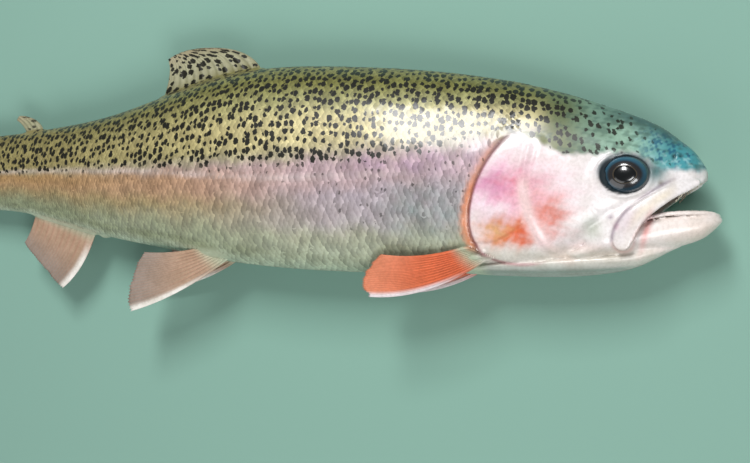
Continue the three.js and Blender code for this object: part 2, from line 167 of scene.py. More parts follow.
jaw = Form(
    top=through((-4.8, -15.2), (0, -14.6), (12, -14.7), (24, -17.2), (36, -22), (44, -27)),
    bottom=through((-4.8, -19.4), (-2, -21.6), (4, -24.9), (14.7, -27.8), (27, -30.2), (44, -32.4)),
    width=through((-4.8, 4.6), (0, 6), (6, 7.6), (16, 9.8), (28, 11.4), (44, 12.6)),
    middle=through((-4.8, -17.6), (4, -19), (16, -20.4), (44, -29)),
    up=through((-4.8, 2), (10, 2.4)),
    down=through((-4.8, 1.9), (10, 2.1)),
    nose=(-4.8, 6.5),
    tail=(50, 8),
)
throat = Form(
    top=through((9, -25), (18, -26.4), (30, -28), (45, -30), (80, -32)),
    bottom=through((9, -28.4), (18, -31.8), (28, -35.2), (42, -37.2), (56, -37.8), (70, -37.6), (80, -37.4)),
    width=through((9, 4.6), (20, 8), (35, 10), (55, 11.2), (80, 10.6)),
    middle=through((9, -26.6), (30, -30.8), (80, -34)),
    up=through((0, 2), (80, 2)),
    down=through((0, 2), (80, 2)),
    nose=(9, 8),
    tail=(92, 14),
)


def bowl(rim, over, depth, inner_width, start, end):
    """A long hollow of the mouth, whose rim runs a little over a line of the body or the jaw."""
    return Form(
        top=lambda s: rim(s) + over + depth,
        bottom=lambda s: rim(s) + over - depth,
        width=inner_width,
        middle=lambda s: rim(s) + over,
        up=through((0, 2), (80, 2)),
        down=through((0, 2), (80, 2)),
        nose=(start, 6),
        tail=(end, 9),
    )


mouth_hollows = (
    bowl(body.bottom, over=1, depth=5.2, inner_width=lambda s: body.width(s) - 3, start=2.6, end=40),
    bowl(jaw.top, over=0.4, depth=5.4, inner_width=lambda s: jaw.width(s) - 2.8, start=-1.6, end=36),
    bowl(jaw.top, over=1.5, depth=5, inner_width=lambda s: jaw.width(s) - 3, start=24, end=44),
)

bend_start, bend_radius = 190, 900  # where and how tightly the limp rear bends down
tail_rest, tail_ease = -0.6, 1.2  # the level that the bend runs out at, and how softly


def middle_height(s):
    """Height of the mid-plane over the ground: level along the trunk, a little lower at the narrower
    head, bent down along the tail, and running out level where the tail fin lies."""
    head_share = 1 - np.clip((s - 60) / 65, 0, 1)
    head_sink = 1.5 * head_share * head_share * (3 - 2 * head_share)
    bent = trunk_middle - head_sink - np.maximum(s - bend_start, 0) ** 2 / (2 * bend_radius)
    return tail_rest + tail_ease * np.logaddexp(0, (bent - tail_rest) / tail_ease)


def posed(points, lowest):
    """Places points (s, y, z) of the straight fish in the part's frame, in metres, and presses what
    would sink into the ground softly up to a lowest level."""
    s, y, z = points.T
    height = middle_height(s) + z
    soft = 0.12
    height = lowest + soft * np.logaddexp(0, (height - lowest) / soft)
    return np.stack([jaw_tip_x - s, jaw_tip_y + y, height], 1) * MM


# The skin's relief: bones and folds that show through it. Most of it lies on the side of the head:
# the gill cover's free edge, the preopercle, the orbit's rim, the plates of the cheek.
def smooth_loop(knots, per_knot, closed):
    """Points on a smooth curve through knots (Catmull-Rom)."""
    knots = np.array(knots, float)
    count = len(knots)
    points = []
    for i in range(count if closed else count - 1):
        if closed:
            p0, p1, p2, p3 = (knots[(i + k) % count] for k in (-1, 0, 1, 2))
        else:
            p0, p1, p2, p3 = (knots[min(max(i + k, 0), count - 1)] for k in (-1, 0, 1, 2))
        for t in np.arange(per_knot) / per_knot:
            points.append(
                0.5 * (2 * p1 + (p2 - p0) * t + (2 * p0 - 5 * p1 + 4 * p2 - p3) * t * t
                       + (3 * p1 - p0 - 3 * p2 + p3) * t**3)
            )
    if not closed:
        points.append(knots[-1])
    return np.array(points)


def from_line(s, y, line):
    """Distance in side view to a line of points, and how far along it the nearest place is, 0 to 1."""
    nearest = np.full(np.broadcast(s, y).shape, 1e9)
    along = np.zeros_like(nearest)
    last = len(line) - 1
    for i in range(last):
        (s0, y0), (s1, y1) = line[i][:2], line[i + 1][:2]
        ds, dy = s1 - s0, y1 - y0
        t = np.clip(((s - s0) * ds + (y - y0) * dy) / (ds * ds + dy * dy), 0, 1)
        away = np.hypot(s - s0 - t * ds, y - y0 - t * dy)
        closer = away < nearest
        nearest = np.where(closer, away, nearest)
        along = np.where(closer, (i + t) / last, along)
    return nearest, along


def from_outline(s, y, outline):
    """Signed distance in side view to a closed outline, negative inside."""
    ring = np.vstack([outline, outline[:1]])
    away, _ = from_line(s, y, ring)
    inside = np.zeros(away.shape, bool)
    for (s0, y0), (s1, y1) in zip(ring[:-1], ring[1:]):
        crosses = (y0 > y) != (y1 > y)
        reach = s0 + (y - y0) * (s1 - s0) / ((y1 - y0) or 1e-9)
        inside ^= crosses & (s < reach)
    return np.where(inside, -away, away)


def patch(s, y, at_s, at_y, size_s, size_y, turn=0.0):
    """A soft oval patch in side view, 1 in its middle."""
    c, n = math.cos(turn), math.sin(turn)
    ds, dy = s - at_s, y - at_y
    return np.exp(-(((c * ds + n * dy) / size_s) ** 2) - ((c * dy - n * ds) / size_y) ** 2)


eye_at = dict(s=26.8, y=-eye_below_tip, half_length=8.6, half_height=7, half_depth=5.3)
eye_middle = (eye_low.z + eye_high.z) / 2 / MM - float(middle_height(np.array(eye_at["s"])))
gill_cover = smooth_loop(
    [(53, 11), (63.5, 13.4), (70.6, 8), (77, -3), (80.2, -15.5), (79.2, -25), (73.4, -31.4),
     (62, -33.2), (52, -30.5), (49.5, -18), (50.5, -3)], 6, True)
preopercle = smooth_loop([(59, 8), (60.6, 0), (60.4, -10), (57.6, -19), (53.2, -27), (46, -32)], 5, False)
subopercle_seam = smooth_loop([(58.4, -17), (65, -22), (72, -25.4), (79, -26)], 5, False)
cheek_seam = smooth_loop([(37.5, 4), (40.6, -3), (39.6, -10), (35.5, -15.5)], 5, False)


def eye_ring(s, y):
    """1 on the eye's outline in side view, less inside."""
    return np.hypot((s - eye_at["s"]) / eye_at["half_length"], (y - eye_at["y"]) / eye_at["half_height"])


def side_relief(s, y):
    """How far the skin stands over the plain form on the side of the head, in mm."""
    cover = from_outline(s, y, gill_cover)
    free_edge = rise(52, 60, s) * rise(-34, -24, y) + rise(60, 68, s) * (1 - rise(-34, -24, y))
    lifted = 0.1 + 0.5 * rise(-9, -1, cover)
    sunk = -1.1 * np.exp(-np.maximum(cover, 0) / 0.9)
    edge = sunk + (lifted - sunk) / (1 + np.exp(np.clip(cover / 0.16, -30, 30)))
    relief = edge * free_edge * rise(13.5, 8, y)

    ridge, _ = from_line(s, y, preopercle)
    behind = rise(-1, 1, s - 58 + 0.012 * (y + 8) ** 2)
    trough = 0.3 * np.exp(-((ridge - 1.8) / 1.3) ** 2) * behind
    relief = relief + 0.42 * np.exp(-((ridge / 1.1) ** 2)) - trough
    for line, depth, width in ((subopercle_seam, 0.3, 0.6), (cheek_seam, 0.22, 0.8)):
        seam, _ = from_line(s, y, line)
        relief = relief - depth * np.exp(-((seam / width) ** 2))

    relief = relief + 0.6 * np.exp(-(((eye_ring(s, y) - 1.06) / 0.11) ** 2))
    for height, *oval_at in (
        (0.45, 16.4, -2.4, 2, 2.8, 0.3),  # the bone in front of the eye
        (0.5, 29, 8.4, 10, 2.6, 0.25),  # the brow
        (-0.4, 13.2, 2.2, 3.4, 1.6, -0.2),  # the dip behind the nostrils
        (0.3, 9.2, 4.6, 1.6, 1.3),  # the nostrils' flap
    ):
        relief = relief + height * patch(s, y, *oval_at)
    return relief


# The upper jaw bone on each side is a bowed paddle that bends down over the lower jaw when the mouth
# opens. Lips, tongue, cheek muscles and the fins' fleshy roots are joined to the skin with it, so that
# the skin runs over all of them without a seam.
maxilla_line = smooth_loop(
    [(3.4, -4.7, 6.6), (10.4, -7.4, 9.9), (17, -11.4, 12), (23, -16.2, 13.2), (26.6, -21.2, 13.1),
     (27.6, -24.8, 12.5)], 5, False)
maxilla_half_width = through((0, 1.2), (0.12, 2), (0.45, 2.9), (0.75, 4), (0.9, 4), (1, 3.2))
upper_lip = smooth_loop(
    [(0.9, -3.2, 0), (1.3, -3.4, 2.2), (2.4, -4.1, 4.4), (4.6, -5.2, 6.3), (8, -6.9, 7.8)], 5, False)
lower_lip = smooth_loop(
    [(-3.3, -16.1, 0), (-2.9, -15.9, 1.8), (-1.6, -15.4, 3.6), (1.3, -15, 5.3), (8, -15, 7.2),
     (16, -15.8, 8.8), (26, -18.8, 10.2)], 5, False)
maxilla_bed = maxilla_line[4:-3] + (2.2, 2.5, -2.5)  # the cheek's roll under the bone's upper edge
cheek_muscles = (
    ((30.4, -17.2, 10.7), (7.6, 4.6, 2.7), 1.4),
    ((35.4, -22.8, 10.7), (5.4, 4.4, 2.9), 2),
)
tongue_at, tongue_size, tongue_tilt = (15.5, -17.6), (10.5, 1.7, 3.8), 0.14
nostrils = ((8.6, 4.6, (0.75, 0.6, 1.1)), (10.6, 4.3, (0.7, 0.9, 1.2)))
stalk_end = 342  # where the tail fin takes over


def joined(a, b, soft):
    """Two forms joined, with a fillet of about the given size."""
    share = np.clip(0.5 + 0.5 * (b - a) / soft, 0, 1)
    return b + (a - b) * share - soft * share * (1 - share)


def hollowed(a, b, soft):
    """Form a with form b taken out."""
    return -joined(-a, b, soft)


def oval(s, y, z, middle, radii):
    """About how far a point is outside an oval body."""
    p = [(v - m) / r for v, m, r in zip((s, y, z), middle, radii)]
    k0 = np.sqrt(p[0] ** 2 + p[1] ** 2 + p[2] ** 2)
    k1 = np.sqrt(sum((v / r) ** 2 for v, r in zip(p, radii)))
    return k0 * (k0 - 1) / np.maximum(k1, 1e-6)


def tube(s, y, z, line, radius):
    """How far a point is outside a round cord along a line of points."""
    nearest = np.full(np.broadcast(s, y, z).shape, 1e9)
    for a, b in zip(line[:-1], line[1:]):
        d = b - a
        t = np.clip(((s - a[0]) * d[0] + (y - a[1]) * d[1] + (z - a[2]) * d[2]) / (d @ d), 0, 1)
        away = (s - a[0] - t * d[0]) ** 2 + (y - a[1] - t * d[1]) ** 2 + (z - a[2] - t * d[2]) ** 2
        nearest = np.minimum(nearest, away)
    return np.sqrt(nearest) - radius


def maxilla_plate(s, y, z):
    """How far a point is outside the jaw bone, whose upper rear edge carries a second, narrower bone."""
    rounding, half_thickness = 0.6, 0.95
    away, along = from_line(s, y, maxilla_line)
    shares = np.linspace(0, 1, len(maxilla_line))
    out = np.interp(along, shares, maxilla_line[:, 2])
    over = y - np.interp(along, shares, maxilla_line[:, 1])
    second_bone = 0.35 * rise(0.42, 0.56, along) * rise(0.1, 0.9, over)
    across = away - maxilla_half_width(along) + rounding
    through_plate = np.abs(z - out) - half_thickness - second_bone + rounding + 0.035 * away**2
    beyond = np.hypot(np.maximum(across, 0), np.maximum(through_plate, 0))
    return beyond + np.minimum(np.maximum(across, through_plate), 0) - rounding


def coat_depth(s):
    """How far the skin lies under the surface of the solids, to leave room for the scales."""
    bare, under_scales = 0.05, 0.3
    return bare + (under_scales - bare) * rise(62, 84, s)


def half_section(s, upper):
    """How square the upper or the lower half of the body's section is, and how far it reaches."""
    middle = body.middle(s)
    power = np.where(upper, body.up(s), body.down(s))
    return power, np.where(upper, body.top(s) - middle, middle - body.bottom(s))


def body_side(s, y):
    """Half width of the body at a place in side view."""
    middle = body.middle(s)
    power, reach = half_section(s, y > middle)
    share = np.clip(np.abs(y - middle) / reach, 0, 1)
    return body.width(s) * (1 - share**power) ** (1 / power)


def head_gap(s, y, z):
    """About how far a point is outside the head's skin, in mm; z is taken to the right."""
    skin = body.gap(s, y, z) + coat_depth(s) - side_relief(s, y) * rise(1.5, 5, z)
    skin = joined(skin, jaw.gap(s, y, z) + 0.05, 1.0)
    ribs = 0.22 * np.cos(np.arctan2(y + 31, z) * 15) * rise(20, 34, s) * rise(84, 70, s)
    hung = throat.gap(s, y, z) + 0.1 + 1.5 * rise(24, 9, s) - ribs
    skin = joined(skin, hung, 0.7 + 1.8 * rise(34, 20, s))
    for at, size, fillet in cheek_muscles:
        skin = joined(skin, oval(s, y, z, at, size), fillet)
    skin = joined(skin, tube(s, y, z, maxilla_bed, 1.9), 1.6)
    skin = joined(skin, maxilla_plate(s, y, z), 0.9)
    skin = joined(skin, tube(s, y, z, upper_lip, 0.9), 0.8)
    skin = joined(skin, tube(s, y, z, lower_lip, 0.75), 0.8)
    for hollow in mouth_hollows:
        skin = hollowed(skin, hollow.gap(s, y, z), 0.8)
    back, up = s - tongue_at[0], y - tongue_at[1]
    c, n = math.cos(tongue_tilt), math.sin(tongue_tilt)
    tongue = oval(back * c - up * n, back * n + up * c, z, (0, 0, 0), tongue_size)
    skin = joined(skin, tongue, 0.7)
    skin = joined(skin, oval(s, y, z, (26, -23.5, 0), (12, 2.2, 7)), 1.5)  # the tongue's root
    socket = (eye_at["half_length"] - 0.45, eye_at["half_height"] - 0.4, eye_at["half_depth"] - 0.5)
    skin = hollowed(skin, oval(s, y, z, (eye_at["s"], eye_at["y"], eye_middle), socket), 0.35)
    for at_s, at_y, size in nostrils:
        skin = hollowed(skin, oval(s, y, z, (at_s, at_y, body_side(at_s, at_y) + 0.3), size), 0.3)
    return joined(skin, oval(s, y, z, (80.5, -29.4, 13.6), (4.6, 2.5, 1.9)), 2.2)  # pectoral fin's root


def window(s, start, end, soft=3.0):
    """1 between two places along the fish, running out softly beyond them."""
    return rise(start - soft, start + soft, s) * rise(end + soft, end - soft, s)


def trunk_gap(s, y, z):
    """About how far a point is outside the skin behind the head, with the roots of its fins."""
    skin = body.gap(s, y, z) + coat_depth(s)
    crest = np.exp(-((z / 1.5) ** 2))
    over = rise(0, 8, y - body.middle(s))
    skin = skin - crest * over * (1.2 * window(s, 169, 216) + window(s, 276, 286, 2))
    skin = skin - crest * (1 - over) * 1.2 * window(s, 247, 281)
    skin = joined(skin, oval(s, y, z, (187, -29.2, 6.4), (6.5, 2, 2)), 2.4)  # pelvic fin's root
    skin = joined(skin, oval(s, y, z, (243, -22.9, 0), (2.2, 1.2, 1.4)), 1.5)  # the vent
    return np.maximum(skin, s - stalk_end)


head_end = 96.0


def skin_gap(s, y, z):
    """About how far points are outside the skin. Lists of points, all of one length."""
    z = np.abs(z)
    out = np.empty(len(s))
    head = s < head_end
    out[head] = head_gap(s[head], y[head], z[head])
    out[~head] = trunk_gap(s[~head], y[~head], z[~head])
    return out


# The skin's mesh: one closed net over head, trunk and tail stalk. The form is sampled on a box grid,
# fine at the head, and a vertex is set in each cell that the surface crosses, then drawn onto it.
def net_over(field, axes):
    """Vertices and quads over the zero level of a field on a grid (surface nets)."""
    inside = field < 0
    size = np.array(field.shape) - 1
    corners = [(i, j, k) for i in (0, 1) for j in (0, 1) for k in (0, 1)]
    shifted = [inside[i:i + size[0], j:j + size[1], k:k + size[2]] for i, j, k in corners]
    crossed = np.logical_or.reduce(shifted) & ~np.logical_and.reduce(shifted)
    cells = np.argwhere(crossed)
    number = np.full(crossed.shape, -1)
    number[tuple(cells.T)] = np.arange(len(cells))
    total = np.zeros((len(cells), 3))
    count = np.zeros((len(cells), 1))
    for a in corners:
        for axis in range(3):
            if a[axis]:
                continue
            b = tuple(a[k] + (k == axis) for k in range(3))
            fa = field[tuple((cells + a).T)]
            fb = field[tuple((cells + b).T)]
            hit = (fa < 0) != (fb < 0)
            share = np.where(hit, fa / np.where(hit, fa - fb, 1), 0)
            place = (cells + np.array(a)).astype(float)
            place[:, axis] += share
            total += place * hit[:, None]
            count += hit[:, None]
    place = total / count
    points = np.stack([np.interp(place[:, k], np.arange(len(axes[k])), axes[k]) for k in range(3)], 1)
    quads = []
    for axis in range(3):
        order = (axis, (axis + 1) % 3, (axis + 2) % 3)
        solid = inside.transpose(order)
        cell = number.transpose(order)
        i, j, k = np.nonzero(solid[:-1, 1:-1, 1:-1] != solid[1:, 1:-1, 1:-1])
        quad = np.stack([cell[i, j, k], cell[i, j + 1, k], cell[i, j + 1, k + 1], cell[i, j, k + 1]], 1)
        outward = solid[i, j + 1, k + 1]
        quad[~outward] = quad[~outward, ::-1]
        quads.append(quad)
    return points, np.vstack(quads)


def drawn_onto(points, quads, gap, rounds):
    """Evens a net's points out and draws them onto its surface."""
    step = 0.05
    links = np.vstack([quads[:, [0, 1]], quads[:, [1, 2]], quads[:, [2, 3]], quads[:, [3, 0]]])
    degree = np.bincount(links.ravel(), minlength=len(points))[:, None]
    for turn in range(rounds):
        normal = np.empty_like(points)
        for axis in range(3):
            ahead, behind = points.copy(), points.copy()
            ahead[:, axis] += step
            behind[:, axis] -= step
            normal[:, axis] = (gap(*ahead.T) - gap(*behind.T)) / (2 * step)
        slope = np.linalg.norm(normal, axis=1, keepdims=True)
        normal /= np.maximum(slope, 1e-6)
        away = gap(*points.T)[:, None] / np.maximum(slope, 0.3)
        points = points - normal * np.clip(away, -0.4, 0.4)
        if turn < rounds - 1:
            near = np.zeros_like(points)
            for a, b in ((0, 1), (1, 0)):
                for axis in range(3):
                    near[:, axis] += np.bincount(
                        links[:, a], points[links[:, b], axis], minlength=len(points))
            pull = near / degree - points
            points = points + 0.5 * (pull - normal * np.sum(pull * normal, 1, keepdims=True))
    return points


along = np.concatenate([np.arange(-6.5, 88, 0.57), np.arange(88, 96, 0.9), np.arange(96, 344.5, 2.8)])
upward = np.arange(-40, 46.5, 0.68)
outward = np.arange(0, 24, 0.68) + 0.34
grid = np.empty((len(along), len(upward), len(outward)))
head_rows = along < head_end
for rows, gap in ((head_rows, head_gap), (~head_rows, trunk_gap)):
    grid[rows] = gap(along[rows][:, None, None], upward[None, :, None], outward[None, None, :])
grid = np.concatenate([grid[:, :, ::-1], grid], 2)
across = np.concatenate([-outward[::-1], outward])
skin_points, skin_quads = net_over(grid, (along, upward, across))
skin_points = drawn_onto(skin_points, skin_quads, skin_gap, rounds=3)


def mesh_piece(name, points, faces):
    """A mesh object from posed points in metres and faces of one size, facing out."""
    mesh = bpy.data.meshes.new(name)
    faces = np.asarray(faces)
    mesh.vertices.add(len(points))
    mesh.vertices.foreach_set("co", np.asarray(points, np.float32).ravel())
    mesh.loops.add(faces.size)
    mesh.loops.foreach_set("vertex_index", faces.astype(np.int32).ravel())
    mesh.polygons.add(len(faces))
    mesh.polygons.foreach_set("loop_start", np.arange(0, faces.size, faces.shape[1], dtype=np.int32))
    mesh.polygons.foreach_set("use_smooth", np.full(len(faces), True))
    mesh.update(calc_edges=True)
    mesh.validate()
    piece = bpy.data.objects.new(name, mesh)
    bpy.context.scene.collection.objects.link(piece)
    return piece


skin = mesh_piece("skin", posed(skin_points, lowest=0.3), skin_quads[:, ::-1])
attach(skin, "root")
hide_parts("head", "lower_jaw", "throat", "maxilla_right", "maxilla_left", "gill_cover_right",
            "gill_cover_left", "tongue", "trunk_front", "trunk_rear", "tail_stalk")


# The fish's colours. They run in bands along it: olive back, gold under it, then rose, mauve and
# silver on the flank, and a pale belly. The head is teal above, white on the cheeks, rose and orange
# on the gill cover. One painting serves the skin, the scales and the roots of the fins.
# Some of it is painted light: shade, highlights and a reflection of water, each said where it lies.
def tint(code):
    """Linear colour of a hex code."""
    rgb = np.array([int(code[i:i + 2], 16) for i in (0, 2, 4)]) / 255
    return np.where(rgb <= 0.04045, rgb / 12.92, ((rgb + 0.055) / 1.055) ** 2.4)


# The spotted back ends at back_edge, the lateral line's pores run along pore_line, and the teal of the
# head's top ends at crown_line.
back_edge = through((60, 15), (71, 14), (90, 11), (130, 8), (200, 6), (300, 5), (342, 4.6))
pore_line = through(
    (66, 11), (76, 7), (90, 1.6), (114, -0.6), (136, -1.2), (172, -0.6), (210, 2.2), (260, 4), (342, 4.6),
)
crown_line = through(
    (0, -0.4), (8, -0.2), (13, 0.6), (18, 2.6), (26, 6), (36, 5.4), (46, 5.6), (52, 7.4), (58, 11.4),
    (66, 14.8), (80, 14),
)


def over_paint(paint, code, share):
    """A colour laid over paint, by shares from 0 to 1."""
    return paint + (tint(code) - paint) * np.clip(share, 0, 1)[:, None]


def layered(ground, count, *layers):
    """A ground colour at a number of places, with layers (code, share) laid over it in turn."""
    paint = np.tile(tint(ground), (count, 1))
    for code, share in layers:
        paint = over_paint(paint, code, share)
    return paint


def clouded(s, y):
    """An uneven value between about -1 and 1 that breaks up the edges of colours."""
    waves = ((0.9, 0.4, 0), (1.7, -1.1, 1), (2.9, 2.3, 2), (0.37, -2.1, 4), (4.3, -3.1, 5), (0.21, 0.13, 3))
    return sum(np.sin(a * s + b * y + c) for a, b, c in waves) / 3


def flank_paint(s, y, above, below, cover):
    """Back, flank and belly, by how far above and below the spotted back's edge; cover is the
    distance to the gill cover's outline, behind which the shoulder is tinted."""
    rear = rise(170, 290, s)
    rose = rise(-0.02, 0.12, below) * rise(0.48, 0.28, below)
    mauve = rise(0.22, 0.38, below) * rise(0.8, 0.58, below)
    pores = np.exp(-(((y - pore_line(s)) / 0.8) ** 2)) * rise(72, 80, s)
    haze = clouded(s * 0.3, y * 0.4)
    shoulder = rise(4.6, 0.6, cover + 0.5 * clouded(s, y)) * rise(66, 72, s) * rise(-31, -24, y)
    return layered(
        "b3ab8c", len(s),
        ("dacd98", rise(-0.04, 0.16, above)),
        ("b2b07a", rise(0.3, 0.62, above)),
        ("828146", rise(0.5, 0.82, above)),
        ("8a8652", rise(0.78, 0.98, above)),
        ("c6acb2", 0.9 * rose * (1 - 0.7 * rear)),
        ("bcafbb", 0.85 * mauve * (1 - 0.8 * rise(110, 220, s))),
        # The lower flank's and the belly's own pale silver, with a green tint that is a painted reflection
        # of water.
        ("aab096", rise(0.5, 0.8, below)),
        ("c2ccb2", rise(0.74, 0.95, below)),
        # The next two layers darken the rear of the flank: painted shade.
        ("848f6a", 0.72 * rise(130, 200, s) * rise(0.25, 0.5, below) * rise(0.98, 0.8, below)),
        ("988a5a", 0.7 * rear * rise(0.55, 0.1, below)),
        ("b88a54", 0.66 * rise(125, 200, s) * rise(0.02, 0.2, below) * rise(0.75, 0.25, below)),
        ("e6d8d6", 0.45 * pores),
        # Darker back toward the tail: painted shade.
        ("958c56", 0.55 * rise(135, 205, s) * rise(0, 0.06, above) * rise(0.9, 0.5, above)),
        ("5c6038", 0.4 * patch(s, y, 60, 27, 17, 9)),
        ("8f9e9a", 0.55 * patch(s, y, 96, -14, 17, 11) * (1 + 0.5 * haze)),
        ("bd9ab6", 0.5 * patch(s, y, 104, 4, 34, 5.5) * (1 + 0.6 * haze)),
        ("db9e84", 0.82 * shoulder * rise(14, 4, y)),
        ("dd8452", 0.85 * shoulder * rise(2, -8, y)),
    )


def cheek_paint(s, y, cover):
    """White cheeks and jaws, clouds of rose and orange on the gill cover, edges of bones tinted on one side
    and painted with shade on the other, a few painted highlights.
    """
    haze = clouded(s * 0.4, y * 0.4)
    torn = 0.5 + 0.5 * np.sin(1.5 * y + 0.6 * np.sin(0.5 * s) + 2 * haze) * np.sin(0.7 * s + 1.3 * haze)
    at_s = s + 1.5 * np.sin(0.9 * y + 0.2 * s) + 0.8 * np.sin(2.3 * y - 0.6 * s)
    at_y = y + 0.9 * np.sin(0.7 * s + 0.4 * y) + 0.5 * np.sin(1.9 * s + 1.1 * y)
    ridge, _ = from_line(s, y, preopercle)
    lips = rise(3, 0.5, y + 15.5 + 0.25 * np.maximum(s - 12, 0)) * rise(30, 10, s)
    off_bone, _ = from_line(s, y, maxilla_line)
    bone_edge = np.exp(-(((off_bone - 3.6) / 0.7) ** 2)) * rise(8, 14, s) * rise(37, 30, s)
    rear_half = y + 5.4 + 0.63 * s
    cover_edge = np.exp(-(((cover + 0.1) / 0.6) ** 2)) * rise(52, 62, s)
    return layered(
        "f2ecec", len(s),
        ("eca4bc", 0.75 * patch(at_s, at_y, 63, -8, 16, 13)),
        ("de9cc0", (0.75 + 0.35 * torn) * patch(at_s, at_y, 71.4, -4.6, 8.4, 6)),
        ("d87a88", (0.25 + 0.6 * torn) * patch(at_s, at_y, 63.6, -5, 6.5, 5)),
        # The gill cover's own silver-white, with a painted highlight on it.
        ("f8e4ee", 1.1 * patch(at_s, at_y, 72, -13.8, 5, 2.7, 0.1)),
        ("e08258", (0.95 + 0.4 * torn) * patch(at_s, at_y, 66.4, -22, 10, 4.8, -0.12)),
        ("dd5c30", (0.6 + 0.5 * torn) * patch(at_s, at_y, 61.8, -22.4, 4, 3.8)),
        ("dcab72", (0.5 + 0.4 * torn) * patch(at_s, at_y, 71.6, -21.6, 5, 3)),
        ("e08c80", (0.8 + 0.45 * torn) * patch(at_s, at_y, 52.4, -15.4, 6.2, 6.8, 0.2)),
        # Grey-green between the cheek and the gill cover: painted shade.
        ("9fae98", 0.6 * patch(s, y, 37.8, -20, 3.6, 4.6)),
        ("d9b0a8", 0.5 * patch(s, y, 40, -28, 10, 2.6)),
        ("f9dcdc", 0.9 * np.exp(-(((ridge - 0.6) / 1.7) ** 2)) * rise(0, -6, y)),
        ("d8d4c6", 0.7 * rise(-25, -30, y) * rise(8, 20, s)),
        ("89968f", 0.8 * rise(-31.5, -35, y) * rise(18, 30, s)),
        ("f4e2d6", 0.5 * lips),
        ("7c6276", 0.7 * patch(s, y, 31.4, -16.4, 0.9, 0.8)),
        ("d58fb0", 0.5 * patch(s, y, 29.4, -19.6, 1, 1.3)),
        ("e2938c", 0.8 * patch(s, y, 19.8, -21, 1.2, 6.6, 0.28)),
        ("8a6c50", 0.8 * patch(s, y, 14.9, -5, 0.9, 1)),
        ("f2e2c0", 0.5 * np.exp(-((off_bone / 1.6) ** 2)) * rise(8, 14, s) * rise(28, 22, s)),
        ("f7e4d8", 0.4 * rise(-17, -20, y) * rise(14, 2, s)),
        ("dcc4d4", 0.45 * patch(s, y, 25.6, -17.6, 2.6, 5.4, 0.5)),
        # Beside the jaw bone: a painted shadow line in dark mauve on its upper side, and a pink tint on its
        # lower side.
        ("8d7a8a", 0.75 * bone_edge * rise(-1, 1, rear_half)),
        ("cf9a92", 0.45 * bone_edge * rise(1, -1, rear_half)),
        # Dusky red along the gill cover's free edge: painted shade under the edge, with a red tint.
        ("a8606c", 0.7 * cover_edge * rise(14, 8, y)),
        ("4d7a7c", 0.95 * patch(s, y, 16.2, -0.6, 3.6, 4.6, 0.35)),
        # The bone under the eye: its own silver-white, with a painted highlight along it.
        ("fffafa", 0.8 * patch(s, y, 27, -11.6, 9, 1.3, 0.0)),
    )


def crown_paint(s, y, over):
    """The top of the head: teal and blue at the snout, olive toward the back."""
    return layered(
        "757a50", len(s),
        ("68724c", rise(2, 12, over)),
        ("abcdb4", rise(48, 30, s)),
        ("4c9ca6", rise(30, 9, s)),
        ("245f7e", 0.9 * rise(0.1, 0.75, clouded(0.8 * s + 0.5 * y, 1.1 * y)) * rise(27, 14, s)),
        ("a4cfd0", 0.6 * rise(0.2, 0.8, clouded(0.9 * y - 0.4 * s, 0.7 * s)) * rise(30, 18, s)),
        ("5e8478", 0.5 * rise(52, 36, s) * rise(20, 32, s)),
        ("38595a", rise(6, 14, over) * rise(44, 22, s)),
        ("3d5a50", 0.5 * rise(0.0, 0.8, clouded(0.7 * y + 0.2 * s, 0.5 * s - 0.3 * y))),
    )


def spot_density(s, above, below, head, crown):
    """How densely spotted the fish is: most on the back, with a few specks under its edge."""
    low_edge = 0.14 + 0.1 * rise(78, 100, s) * rise(230, 170, s)
    spots = rise(-1, 0, (above - 0.04) / (low_edge + 0.04)) * (0.86 + 0.14 * rise(0.3, 0.8, above))
    spots = spots + 0.24 * (above < 0) * rise(0.72, 0.3, below) * rise(165, 120, s) * rise(72, 80, s)
    spots = spots + 0.3 * rise(0.35, 0.05, below) * rise(200, 300, s) * (above < 0)
    spots = spots * (1 - head) + head * crown * (0.9 - 0.28 * rise(56, 40, s)) * rise(8, 32, s)
    return np.clip(spots, 0, 1)


